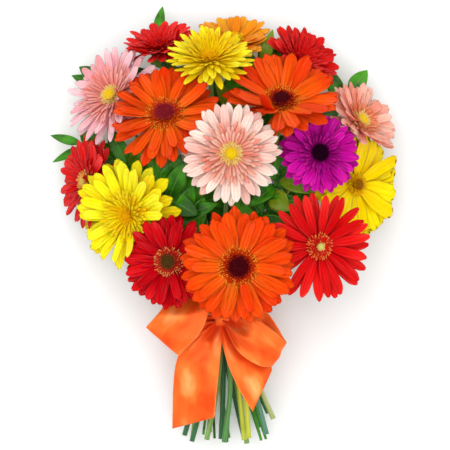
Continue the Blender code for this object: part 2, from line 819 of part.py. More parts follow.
def resting_leaves(path, others, rng):
    """Leaves set alternately along the upper part of a twig, which lie on the surface."""
    made = []
    own = []
    for k in range(RESTING_LEAVES):
        base, along = twig_spot(path, 1 - RESTING_STEP * k)
        upright = (Vector((0, 0, 1)) - along * along.z).normalized()
        across = along.cross(upright).normalized() * (1 if k % 2 else -1)
        spread = math.radians(rng.uniform(35, 60)) if k else 0
        roll = math.radians(rng.uniform(-30, 30))
        length = RESTING_LENGTH * rng.uniform(0.85, 1.1)
        width = RESTING_WIDTH * rng.uniform(0.9, 1.1)
        arch = rng.uniform(1.0, 3.5)

        def make(bend, shrink, swell):
            way = along * math.cos(spread) + across * math.sin(spread)
            way = (way * math.cos(bend) + upright * math.sin(bend)).normalized()
            side = Quaternion(way, roll) @ way.cross(upright).normalized()
            return leaf(base, way, side, length * shrink, width * shrink, arch, swell)

        grow(make, [resting_bend(make)] + LEAF_BENDS, others, made, own)
    return made


def grow(make, bends, others, made, own):
    """Add the leaf to its spray, at the first bend and size that clear the rest."""
    choice = bent_clear(make, others + own, bends, LEAF_SHRINKS)
    if choice:
        shape = make(*choice, 0.0)
        made.append(shape)
        own.append(outer_part(shape, 1))


def resting_bend(make):
    """How far a leaf bends down for its lowest point to touch the surface."""
    high = math.radians(40)
    low = math.radians(-70)
    for _ in range(24):
        middle = (high + low) / 2
        points, faces = make(middle, 1.0, 0.0)
        if min(p.z for p in points) > GROUND:
            high = middle
        else:
            low = middle
    return high


# Ribbon
RIBBON_SECTIONS = {
    "left_loop": [
        ((-7, 6, 25.5), (2, 5, 26)),
        ((-34, 25, 32), (0, 24, 38)),
        ((-54, 22, 42), (-10, 24, 48)),
        ((-67, 7, 46), (-22, -8, 54)),
        ((-77, -4, 44), (-42, -31, 49)),
        ((-78, -6, 39), (-45, -35, 43)),
        ((-66, 2, 32), (-35, -25, 35)),
        ((-36, 7, 27), (-18, -10, 29)),
        ((-7, 3, 19.5), (-2, -5, 19.5)),
    ],
    "right_loop": [
        ((0, 5, 21.5), (-1, -4, 21)),
        ((24, 20, 31), (20, -12, 30)),
        ((44, 8, 32), (34, -28, 31)),
        ((61, -18, 37), (49, -42, 35)),
        ((62, -21, 42), (48, -46, 41)),
        ((48, -8, 49), (34, -44, 50)),
        ((26, 6, 48), (14, -30, 49)),
        ((2, 5, 26.5), (0, -5, 26.5)),
    ],
    "left_tail": [
        ((-7, 0, 23), (-1, -5, 23)),
        ((-29, -15, 29), (-2, -20, 31)),
        ((-47, -37, 29), (-4, -40, 35)),
        ((-52, -70, 26), (-7, -70, 38)),
        ((-53, -112, 21), (-10, -98, 42)),
    ],
    "right_tail": [
        ((-4, -4, 23.5), (5, -2, 23.5)),
        ((-2, -22, 31), (22, -13, 27.5)),
        ((4, -45, 36), (39, -28, 28)),
        ((15, -69, 40), (47, -40, 29)),
        ((29, -92, 42), (49, -51, 30)),
    ],
}


def band(sections):
    """A strip of ribbon through pairs of edge points, as a thin closed solid."""
    points = []
    faces = []
    half = RIBBON_THICK / 2
    middles = [(Vector(a) + Vector(b)) / 2 for a, b in sections]
    for k, (a, b) in enumerate(sections):
        ahead = middles[min(k + 1, len(middles) - 1)]
        behind = middles[max(k - 1, 0)]
        normal = (ahead - behind).cross(Vector(b) - Vector(a)).normalized()
        points.append(Vector(a) + normal * half)
        points.append(Vector(b) + normal * half)
        points.append(Vector(b) - normal * half)
        points.append(Vector(a) - normal * half)
    for row in range(len(sections) - 1):
        first = row * 4
        for k, n in ((0, 1), (1, 2), (3, 0)):
            faces.append((first + k, first + 4 + k, first + 4 + n))
            faces.append((first + k, first + 4 + n, first + n))
        faces.append((first + 2, first + 6, first + 3))
        faces.append((first + 3, first + 6, first + 7))
    faces.append((0, 1, 2, 3))
    faces.append((len(points) - 4, len(points) - 3, len(points) - 2, len(points) - 1))
    return points, faces


KNOT_PLACE = Vector((-1, 0, 22))
KNOT_SIZE = (9, 9, 7)
KNOT_SIDES = 8
WRAP_SIDES = 14
WRAP_THICK = 1.6
# place along the stems and flare of the wrap's rows
WRAP_ROWS = [(-13, 1.2), (0, 0.0), (13, 1.4)]


def knot():
    """Rounded lump of the tied ribbon."""
    points = []
    faces = []
    sides = KNOT_SIDES
    for height, wide in ((-0.85, 0.5), (-0.3, 0.95), (0.4, 0.9), (0.85, 0.5)):
        for k in range(sides):
            angle = math.tau * k / sides
            points.append(KNOT_PLACE + Vector((KNOT_SIZE[0] * wide * math.cos(angle),
                                               KNOT_SIZE[1] * wide * math.sin(angle),
                                               KNOT_SIZE[2] * height)))
    for row in range(3):
        for k in range(sides):
            n = (k + 1) % sides
            faces.append((row * sides + k, row * sides + n, row * sides + sides + n))
            faces.append((row * sides + k, row * sides + sides + n, row * sides + sides + k))
    faces.append(tuple(range(sides)))
    faces.append(tuple(range(3 * sides, 4 * sides)))
    return points, faces


def wrap(inner):
    """The turn of ribbon round the stems, drawn in at the knot."""
    points = []
    faces = []
    profile = [(y, inner + flare) for y, flare in WRAP_ROWS]
    profile += [(y, inner + flare + WRAP_THICK) for y, flare in reversed(WRAP_ROWS)]
    for y, radius in profile:
        for k in range(WRAP_SIDES):
            angle = math.tau * k / WRAP_SIDES
            points.append(Vector((radius * math.cos(angle), y, radius * math.sin(angle))))
    count = len(profile)
    for row in range(count):
        nxt = (row + 1) % count
        for k in range(WRAP_SIDES):
            n = (k + 1) % WRAP_SIDES
            faces.append((row * WRAP_SIDES + k, row * WRAP_SIDES + n, nxt * WRAP_SIDES + n))
            faces.append((row * WRAP_SIDES + k, nxt * WRAP_SIDES + n, nxt * WRAP_SIDES + k))
    return points, faces


def build():
    clear_scene()
    rng = random.Random(16)
    green = material("stem_green", STEM_COLOUR, 0.5)
    leafy = material("ruscus_green", LEAF_COLOUR, 0.35)
    satin = material("satin", RIBBON_COLOUR, 0.3)
    goals = [bloom.place - bloom.faces * NECK for bloom in BLOOMS]
    arrivals = [bloom.faces for bloom in BLOOMS]
    radii = [STEM_RADIUS] * len(BLOOMS)
    for name, end, aims in SPRAYS:
        goals.append(Vector(end))
        arrivals.append(Vector((end[0], end[1], 0)).normalized())
        radii.append(TWIG_RADIUS)
    spots = tie_spots(goals, radii)
    uppers = upper_routes(goals, arrivals, spots, radii)
    ends = [stem_end(spot, rng) for spot in spots]

    obstacles = []
    for number, bloom in enumerate(BLOOMS):
        path = whole_route(spots[number], uppers[number], ends[number])
        points, faces = bloom_stem(bloom, path)
        points = rest_on_surface(points)
        solid(bloom.name + "_stem", points, faces, green)
        obstacles.append(Obstacle(points, faces))
        points, faces = bloom_eye(bloom)
        solid(bloom.name + "_eye", points, faces, material(bloom.name + "_eye", bloom.eye, 0.8))
        obstacles.append(Obstacle(points, faces))

    twigs = []
    paths = []
    for number in range(len(SPRAYS)):
        k = number + len(BLOOMS)
        path = whole_route(spots[k], uppers[k], ends[k])
        paths.append(path[3:])
        points, faces = tube(path, [TWIG_RADIUS] * len(path), TWIG_SIDES)
        twigs.append((rest_on_surface(points), faces))
    obstacles += [Obstacle(*twig) for twig in twigs]

    bundle = max(math.hypot(*spot) + radius for spot, radius in zip(spots, radii))
    inner = (bundle + GAP) / math.cos(math.pi / WRAP_SIDES)
    bow = [band(sections) for sections in RIBBON_SECTIONS.values()]
    ribbon_parts = bow + [wrap(inner)]
    ribbon = solid("ribbon_bow", *knot(), satin)
    fuse(ribbon, ribbon_parts)
    obstacles.append(joined(ribbon_parts + [knot()]))

    cores = []
    for bloom in BLOOMS:
        bare = [[None] * bloom.count] * 2
        cores.append(Obstacle(*flower_head(bloom, bare)))
    for number, bloom in enumerate(BLOOMS):
        colour = material(bloom.name + "_petals", bloom.colour, 0.6)
        others = obstacles + [core for k, core in enumerate(cores) if k != number]
        head = flower_head(bloom, bloom_petals(bloom, others, rng))
        solid(bloom.name + "_petals", *head, colour)
        cores[number] = Obstacle(*head)

    obstacles += cores
    for number, (name, end, aims) in enumerate(SPRAYS):
        twig = twigs[number]
        own = Obstacle(*twig)
        others = [o for o in obstacles if o.low != own.low or o.high != own.high]
        if aims:
            shapes = aimed_leaves(paths[number], aims, others, rng)
        else:
            shapes = resting_leaves(paths[number], others, rng)
        thing = solid(name, *twig, leafy)
        fuse(thing, shapes)
        obstacles.append(joined(shapes))


build()
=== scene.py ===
"""Looks of the gerbera bouquet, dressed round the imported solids.

Tables and lengths are in millimetres, measured from the middle of the tie, as in the part's
own source; meshes are made in metres and moved so that the origin is under the bunch.
"""

import json
import math
import random
from collections import namedtuple
from functools import cache
from itertools import product

import bpy
import numpy as np
from mathutils import Matrix, Vector
from mathutils.bvhtree import BVHTree


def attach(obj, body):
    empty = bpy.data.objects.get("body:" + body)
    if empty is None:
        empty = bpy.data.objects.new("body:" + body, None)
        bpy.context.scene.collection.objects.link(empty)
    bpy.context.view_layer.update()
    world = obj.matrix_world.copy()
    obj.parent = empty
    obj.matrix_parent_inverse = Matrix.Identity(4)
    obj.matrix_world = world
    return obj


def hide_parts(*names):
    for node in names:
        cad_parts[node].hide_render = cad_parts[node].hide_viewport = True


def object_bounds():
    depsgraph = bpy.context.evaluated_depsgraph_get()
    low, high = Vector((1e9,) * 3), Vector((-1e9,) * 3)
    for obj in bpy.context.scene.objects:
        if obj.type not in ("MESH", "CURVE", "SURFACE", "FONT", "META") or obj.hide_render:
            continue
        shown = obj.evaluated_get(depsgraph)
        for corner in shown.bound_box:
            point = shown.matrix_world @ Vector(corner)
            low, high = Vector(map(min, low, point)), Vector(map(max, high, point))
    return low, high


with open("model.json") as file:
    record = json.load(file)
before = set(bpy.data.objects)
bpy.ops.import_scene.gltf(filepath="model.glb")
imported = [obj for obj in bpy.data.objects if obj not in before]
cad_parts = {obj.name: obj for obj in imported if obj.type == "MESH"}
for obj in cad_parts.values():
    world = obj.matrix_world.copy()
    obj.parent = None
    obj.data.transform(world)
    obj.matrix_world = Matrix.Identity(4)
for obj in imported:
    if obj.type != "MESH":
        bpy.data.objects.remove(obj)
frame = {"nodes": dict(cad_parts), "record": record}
cad_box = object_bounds()

# Driving dimensions, as the solids have them
MM = 0.001
GROUND = -29.5
ORIGIN = np.array((-0.8, 98.0, GROUND))
STEM_RADIUS = 2.5
TWIG_RADIUS = 1.4
STEM_PITCH = 0.5
TIE_HALF = 15.0
FAN_ACROSS = 3.7
FAN_DEPTH = 1.05
FAN_SHIFT = 12.0
FAN_TWIST = math.radians(24)
STEM_REACH = 126.0
CUT_FROM = 40.0
CUT_SLOPE = 1.1
NECK = 18.0
CORE_RADIUS = 10.0
CORE_TOP = 2.4
GAP = 0.3

Bloom = namedtuple("Bloom", "name place faces radius cup sway count width colour kind eye eye_radius")
BLOOMS = [Bloom(*row) for row in (
    ("orange_front", (14, 57, 106), (0.04, -0.06, 1), 58, 3, 3, 11, 13.0, "orange", "single", "dark", 10.5),
    ("pink_middle", (7, 166, 102), (0, 0.05, 1), 51, 3, 3, 12, 10.0, "pink", "crested", "cream", 8.5),
    ("red_right", (94, 76, 80), (0.25, -0.05, 0.97), 56, 4, 2, 11, 10.5, "red", "narrow", "small", 8.0),
    ("orange_left", (-58, 206, 78), (-0.08, 0.6, 0.8), 56, 5, 14, 11, 12.5, "orange", "single", "maroon", 10),
    ("orange_right", (57, 219, 70), (0, 0.66, 0.75), 59, 18, 2, 10, 14.0, "orange", "broad", "dark", 10.0),
    ("magenta", (94, 168, 74), (0.2, 0.12, 0.97), 42, 6, 2, 11, 9.5, "magenta", "fringed", "black", 8.0),
    ("red_low_left", (-54, 61, 78), (-0.3, 0, 0.95), 49, 5, 3, 11, 11.5, "crimson", "single", "brown", 9.0),
    ("yellow_left", (-96, 107, 60), (-0.46, -0.14, 0.88), 59, 6, 3, 12, 11.0, "yellow", "full", "gold", 9.0),
    ("yellow_top", (-14, 263, 60), (0, 0.72, 0.69), 46, 8, 2, 12, 8.5, "yellow", "spidery", "gold", 8.0),
    ("yellow_right", (133, 138, 42), (0.58, 0, 0.81), 55, 7, 0, 11, 12.0, "golden", "wide", "tawny", 8.0),
    ("pink_left", (-113, 227, 42), (-0.52, 0.38, 0.77), 55, 8, 2, 11, 10.0, "rose", "crested", "cream", 8.0),
    ("red_left", (-139, 141, 34), (-0.82, 0.05, 0.57), 49, 6, 0, 10, 10.5, "red", "fringed", "pale", 8.0),
    ("salmon_right", (138, 202, 34), (0.6, 0.45, 0.66), 45, 12, 0, 10, 10.0, "salmon", "full", "cream", 7.0),
    ("red_top_left", (-66, 279, 30), (-0.2, 0.8, 0.57), 40, 18, 0, 10, 10.0, "red", "crested", "red", 7.5),
    ("red_top_right", (78, 266, 24), (0.42, 0.6, 0.68), 43, 14, 0, 10, 10.0, "red", "double", "red", 7.5),
    ("amber_top", (9, 286, 14), (-0.04, 0.8, 0.6), 42, 16, 0, 10, 10.5, "amber", "single", "gold", 7.0),
)]

SPRAYS = [
    ("ruscus_top_left", (-69, 290, 4)),
    ("ruscus_upper_left", (-126, 246, -10)),
    ("ruscus_left", (-148, 182, 4)),
    ("ruscus_inner_left", (-97, 157, 38)),
    ("ruscus_top", (40, 262, 20)),
    ("ruscus_upper_right", (130, 235, 0)),
    ("ruscus_middle_left", (-62, 134, 62)),
    ("ruscus_middle_right", (56, 147, 60)),
    ("ruscus_back_left", (-92, 150, -20)),
    ("ruscus_back_right", (106, 134, 34)),
    ("ruscus_back", (0, 214, 22)),
]


def frame_of(bloom):
    """Rotation and place of a bloom's own axes, with +Z out of its face and +Y uppermost."""
    faces = Vector(bloom.faces).normalized()
    up = Vector((0, 1, 0)) - faces * faces.y
    if up.length < 0.2:
        up = Vector((0, 0, -1)) + faces * faces.z
    up.normalize()
    right = up.cross(faces)
    turn = np.array(Matrix((right, up, faces)).transposed())
    return turn, np.array(bloom.place, float)


# Routes of the stems
TIE_STEPS = 700
TIE_SETTLE_STEPS = 60
TIE_PULL = 0.985
SPIRAL_APEX = 70.0
ROUTE_POINTS = 36
ROUTE_STEPS = 260
ROUTE_HANDLES = (0.35, 0.4)
ROUTE_SPARE = 1.4
STEM_SPOTS = 8
BEHIND_PETALS = 9.0
BEHIND_NECK = NECK + 12.0
NECK_ROOM = CORE_RADIUS + 6.0
BLOOM_FRONT = 16.0
# shares of an overlap that one step takes back, and of the way to a smooth route, early and late
TIE_PUSH = 0.5
ROUTE_PUSH = 0.35
BLOOM_PUSH = 0.25
ROUTE_EASE = (0.3, 0.1)
SURFACE_ROOM = 4.0


def parting(points, keep, spare):
    """Moves that part the points that lie closer to each other than keep."""
    away = points[:, None, :] - points[None, :, :]
    gap = np.sqrt((away ** 2).sum(axis=2)) + spare
    short = np.clip(keep - gap, 0, None)
    return (away / gap[:, :, None] * short[:, :, None]).sum(axis=1)


def tie_spots(goals, radii):
    """Where each stem passes the tie, so that the round stems lie side by side."""
    apex = SPIRAL_APEX
    spots = np.array([(apex * g.x / (g.y + apex), apex * g.z / (g.y + apex)) for g in goals])
    spots = spots - spots.mean(axis=0)
    spots = spots * (TIE_HALF / np.abs(spots).max())
    wide = np.array(radii)
    keep = wide[:, None] + wide[None, :] + STEM_PITCH
    for step in range(TIE_STEPS + TIE_SETTLE_STEPS):
        if step < TIE_STEPS:
            spots = spots * TIE_PULL
        spots = spots + parting(spots, keep, np.eye(len(spots)) * 1000) * TIE_PUSH
    return spots


def fan_point(spot, depth):
    """The place of a stem that passes the tie at spot, depth below the tie."""
    share = max(depth - TIE_HALF, 0) / (STEM_REACH - TIE_HALF)
    turn = FAN_TWIST * share
    across = spot[0] * math.cos(turn) - spot[1] * math.sin(turn)
    deep = spot[0] * math.sin(turn) + spot[1] * math.cos(turn)
    x = across * (1 + FAN_ACROSS * share) + FAN_SHIFT * share
    z = deep * (1 + FAN_DEPTH * share)
    return Vector((x, -depth, z))


def bezier(p0, p1, p2, p3, t):
    s = 1 - t
    return p0 * s ** 3 + p1 * 3 * s * s * t + p2 * 3 * s * t * t + p3 * t ** 3


def upper_routes(goals, arrivals, spots, radii):
    """Stems above the tie, pushed apart and kept behind the other blooms."""
    routes = []
    for goal, arrival, spot in zip(goals, arrivals, spots):
        start = Vector((spot[0], TIE_HALF, spot[1]))
        reach = (goal - start).length
        ahead = Vector((spot[0] * 0.03, 1, spot[1] * 0.03)).normalized()
        low = start + ahead * reach * ROUTE_HANDLES[0]
        high = goal - arrival * reach * ROUTE_HANDLES[1]
        bend = [bezier(start, low, high, goal, k / (ROUTE_POINTS - 1)) for k in range(ROUTE_POINTS)]
        routes.append([tuple(p) for p in bend])
    routes = np.array(routes)
    owner = np.repeat(np.arange(len(goals)), ROUTE_POINTS)
    wide = np.repeat(np.array(radii), ROUTE_POINTS)
    keep = wide[:, None] + wide[None, :] + STEM_PITCH + ROUTE_SPARE
    keep = np.where(owner[:, None] == owner[None, :], 0, keep)
    hold = np.zeros(routes.shape[:2], bool)
    hold[:, :3] = True
    hold[:len(BLOOMS), -3:] = True
    hold[:, -1] = True
    for step in range(ROUTE_STEPS):
        shift = parting(routes.reshape(-1, 3), keep, 1e-6) * ROUTE_PUSH
        shift = shift.reshape(routes.shape) + bloom_push(routes)
        smooth = np.zeros_like(routes)
        smooth[:, 1:-1] = (routes[:, :-2] + routes[:, 2:]) / 2 - routes[:, 1:-1]
        move = shift + smooth * ROUTE_EASE[step >= ROUTE_STEPS * 0.8]
        move[hold] = 0
        routes = routes + move
        routes[:, :, 2] = np.maximum(routes[:, :, 2], GROUND + SURFACE_ROOM)
    return [[Vector(p) for p in route] for route in routes]


def bloom_push(routes):
    """Move of route points that lie within another bloom, back behind it."""
    shift = np.zeros_like(routes)
    for number, bloom in enumerate(BLOOMS):
        face = np.array(Vector(bloom.faces).normalized())
        rel = routes - np.array(bloom.place)
        height = rel @ face
        flat = rel - height[:, :, None] * face
        radius = np.sqrt((flat ** 2).sum(axis=2))
        floor = np.where(radius < NECK_ROOM, -BEHIND_NECK, -BEHIND_PETALS)
        inside = (radius < bloom.radius + 3) & (height > floor) & (height < BLOOM_FRONT)
        inside[number] = False
        short = np.where(inside, height - floor, 0)
        shift = shift - (short * BLOOM_PUSH)[:, :, None] * face
    return shift


def stem_end(spot, rng):
    """How far below the tie a stem is cut: shorter to the right, as gathered."""
    far = fan_point(spot, STEM_REACH)
    return STEM_REACH - max(far.x - CUT_FROM, 0) * CUT_SLOPE - rng.uniform(-4, 9)


def whole_route(spot, upper, depth):
    """Path from the cut end through the tie to the top of a stem."""
    below = [fan_point(spot, d) for d in (depth, (depth + TIE_HALF) / 2, TIE_HALF)]
    last = len(upper) - 1
    return below + [upper[round(last * k / (STEM_SPOTS - 1))] for k in range(STEM_SPOTS)]


def all_routes():
    """Paths of all stems and twigs, as arrays of points, and the bundle's radius at the tie."""
    goals = [Vector(b.place) - Vector(b.faces).normalized() * NECK for b in BLOOMS]
    arrivals = [Vector(b.faces).normalized() for b in BLOOMS]
    radii = [STEM_RADIUS] * len(BLOOMS) + [TWIG_RADIUS] * len(SPRAYS)
    for _, end in SPRAYS:
        goals.append(Vector(end))
        arrivals.append(Vector((end[0], end[1], 0)).normalized())
    spots = tie_spots(goals, radii)
    uppers = upper_routes(goals, arrivals, spots, radii)
    rng = random.Random(16)
    ends = [stem_end(spot, rng) for spot in spots]
    paths = [np.array([tuple(p) for p in whole_route(s, u, e)]) for s, u, e in zip(spots, uppers, ends)]
    bundle = max(math.hypot(*spot) + radius for spot, radius in zip(spots, radii))
    return paths, bundle


# Meshes. A shape is its points, faces and looks. A look is (along, across, tone, side): the place
# on a blade, root to tip and edge to edge, a random share, and 0 on its front and 1 on its back.
def linked(name, data):
    thing = bpy.data.objects.new(name, data)
    bpy.context.scene.collection.objects.link(thing)
    return thing


def piece(name, shapes, paint, slot, *nodes):
    """One mesh of several shapes, and the solids that it stands for."""
    points = (np.concatenate([shape[0] for shape in shapes]) - ORIGIN) * MM
    points[:, 2] = np.maximum(points[:, 2], 0)
    faces, size = [], 0
    for shape in shapes:
        new = shape[1].tolist() if isinstance(shape[1], np.ndarray) else shape[1]
        faces += [[i + size for i in face] for face in new]
        size += len(shape[0])
    mesh = bpy.data.meshes.new(name)
    mesh.from_pydata(points.tolist(), [], faces)
    looks = mesh.attributes.new("look", "FLOAT_COLOR", "POINT")
    values = np.concatenate([shape[2] for shape in shapes])
    looks.data.foreach_set("color", values.astype(np.float32).ravel())
    mesh.polygons.foreach_set("use_smooth", [True] * len(mesh.polygons))
    mesh.materials.append(paint)
    mesh.update()
    thing = linked(name, mesh)
    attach(thing, "root")
    if nodes:
        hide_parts(*nodes)
    return thing


def unit(v):
    """A vector, or each of many, made one long."""
    return v / (np.linalg.norm(v) if v.ndim == 1 else np.linalg.norm(v, axis=1)[:, None])


def circle(sides):
    """Angles of a ring of points."""
    return np.arange(sides) * math.tau / sides


def look_of(along, across, tone):
    look = np.zeros((*np.broadcast(along, across).shape, 4))
    for k, value in enumerate((along, across, tone)):
        look[..., k] = value
    return look


def quads(*corners):
    return np.stack(corners, axis=-1).reshape(-1, 4)


@cache
def lens_faces(nu, nv):
    """Faces of a thin blade, whose two skins share the rim."""
    top = np.arange((nu + 1) * (nv + 1)).reshape(nu + 1, nv + 1)
    low = top.copy()
    low[1:-1, 1:-1] = len(top.ravel()) + np.arange((nu - 1) * (nv - 1)).reshape(nu - 1, nv - 1)
    return np.concatenate((quads(top[:-1, :-1], top[1:, :-1], top[1:, 1:], top[:-1, 1:]),
                           quads(low[:-1, :-1], low[:-1, 1:], low[1:, 1:], low[1:, :-1])))


def ring_faces(rows, sides):
    """Faces of a row of closed rings, whose low and high cap points come last."""
    grid = np.arange(rows * sides).reshape(rows, sides)
    nxt = np.roll(grid, -1, axis=1)
    faces = quads(grid[:-1], nxt[:-1], nxt[1:], grid[1:]).tolist()
    faces += [[rows * sides, nxt[0, k], grid[0, k]] for k in range(sides)]
    return faces + [[rows * sides + 1, grid[-1, k], nxt[-1, k]] for k in range(sides)]


def lens(middle, offset, look):
    """Thin closed blade about a middle grid."""
    nu, nv = middle.shape[0] - 1, middle.shape[1] - 1
    lift = offset.copy()
    lift[0] = lift[-1] = 0
    lift[:, 0] = lift[:, -1] = 0
    top = (middle + lift).reshape(-1, 3)
    bottom = (middle - lift)[1:-1, 1:-1].reshape(-1, 3)
    under = look[1:-1, 1:-1].reshape(-1, 4).copy()
    under[:, 3] = 1
    return np.concatenate((top, bottom)), lens_faces(nu, nv), np.concatenate((look.reshape(-1, 4), under))


Ray = namedtuple("Ray", "angle root rise length lift curl width blunt end cup groove yaw roll twist "
                        "thick tone")


def step_up(x):
    x = np.clip(x, 0, 1)
    return x * x * (3 - 2 * x)


def ray_grid(ray, nu, nv, swell=0.0):
    """Middle grid and half-thickness vectors of a petal, in its bloom's own axes."""
    s = 1 - (1 - np.linspace(0, 1, nu + 1)) ** 1.45
    t = np.linspace(-1, 1, nv + 1)
    middle_s = (s[1:] + s[:-1]) / 2
    slope = ray.lift + ray.curl * middle_s ** 1.3
    run = np.diff(s) * ray.length
    out = ray.root + np.concatenate(([0], np.cumsum(np.cos(slope) * run)))
    up = ray.rise + np.concatenate(([0], np.cumsum(np.sin(slope) * run)))
    angle = ray.angle + ray.yaw * s ** 2
    centre = np.stack((out * np.cos(angle), out * np.sin(angle), up), axis=1)
    along = unit(np.gradient(centre, axis=0))
    normal = unit(np.cross(along, np.stack((-np.sin(angle), np.cos(angle), 0 * angle), axis=1)))
    side = np.cross(normal, along)
    roll = (ray.roll + ray.twist * s)[:, None]
    side, normal = side * np.cos(roll) + normal * np.sin(roll), normal * np.cos(roll) - side * np.sin(roll)
    x = np.clip((s - ray.blunt) / (1 - ray.blunt), 0, 1)
    half = ray.width / 2 * (0.4 + 0.6 * step_up(s / 0.5)) * np.sqrt(1 - x * x * (1 - ray.end ** 2)) + swell
    rise = half[:, None] * (ray.cup * t ** 2)
    rise = rise - half[:, None] * ray.groove * np.exp(-((np.abs(t) - 0.42) / 0.16) ** 2)
    teeth = np.cos(t * math.pi * 3) * 0.35 - 0.9 * t * t
    nudge = (s ** 6)[:, None] * teeth[None, :] * ray.width * 0.16
    middle = centre[:, None, :] + side[:, None, :] * (half[:, None] * t[None, :])[:, :, None]
    middle = middle + normal[:, None, :] * rise[:, :, None] + along[:, None, :] * nudge[:, :, None]
    thick = ray.thick / 2 + swell
    offset = normal[:, None, :] * (thick * (1 - 0.7 * t * t))[None, :, None] * np.ones((nu + 1, 1, 1))
    return middle, offset, look_of(s[:, None], t / 2 + 0.5, ray.tone)


def blade(axes, ray, nu, nv, swell=0.0):
    """A petal, floret or bract, moved from its bloom's axes to the bunch's."""
    turn, place = axes
    middle, offset, look = ray_grid(ray, nu, nv, swell)
    return lens(middle @ turn.T + place, offset @ turn.T, look)


def smooth_path(points, steps):
    """Catmull-Rom curve through points, with steps samples to each stretch."""
    points = np.asarray(points, float)
    ends = np.concatenate(([2 * points[0] - points[1]], points, [2 * points[-1] - points[-2]]))
    made = []
    for k in range(len(points) - 1):
        p0, p1, p2, p3 = ends[k:k + 4]
        for t in np.arange(steps) / steps:
            made.append(0.5 * (2 * p1 + (p2 - p0) * t + (2 * p0 - 5 * p1 + 4 * p2 - p3) * t * t
                               + (3 * p1 - p0 - 3 * p2 + p3) * t ** 3))
    made.append(points[-1])
    return np.array(made)


def tube(path, radii, sides, tone=0.5, ridge=0.0):
    """Closed tube along a path, with its looks: along, round, tone, and 1 at a cut end."""
    ahead = unit(np.gradient(path, axis=0))
    side = np.array((1.0, 0, 0))
    turns = circle(sides)
    points = []
    for k in range(len(path)):
        side = unit(side - ahead[k] * (side @ ahead[k]))
        other = np.cross(ahead[k], side)
        radius = radii[k] * (1 + ridge * np.cos(turns * (sides // 2)))
        around = np.cos(turns)[:, None] * side + np.sin(turns)[:, None] * other
        points.append(path[k] + around * radius[:, None])
    rows = len(path)
    points = np.concatenate(points + [path[:1], path[-1:]])
    look = np.zeros((len(points), 4))
    look[:-2, 0] = np.repeat(np.linspace(0, 1, rows), sides)
    look[:-2, 1] = np.tile(np.arange(sides) / sides, rows)
    look[:, 2] = tone
    look[-2, 3] = 1
    look[-1, 0] = 1
    return points, ring_faces(rows, sides), look


def turned(axes, rings, sides, look_row=(0, 0, 0, 0)):
    """Closed turned solid of (radius, height) rings in a bloom's axes, top and bottom capped."""
    turn, place = axes
    turns = circle(sides)
    points = [np.stack((r * np.cos(turns), r * np.sin(turns), np.full(sides, h)), axis=1) for r, h in rings]
    points.append(np.array(((0, 0, rings[0][1]), (0, 0, rings[-1][1]))))
    points = np.concatenate(points) @ turn.T + place
    return points, ring_faces(len(rings), sides), np.tile(np.array(look_row, float), (len(points), 1))


# Looks
def srgb(levels):
    """Display levels, 0 to 255, as a linear colour."""
    return tuple(((v / 255 + 0.055) / 1.055) ** 2.4 if v > 10 else v / 255 / 12.92 for v in levels)


def shades(codes):
    """Linear colours of display colours in hexadecimal codes."""
    return [srgb(bytes.fromhex(code)) for code in codes.split()]


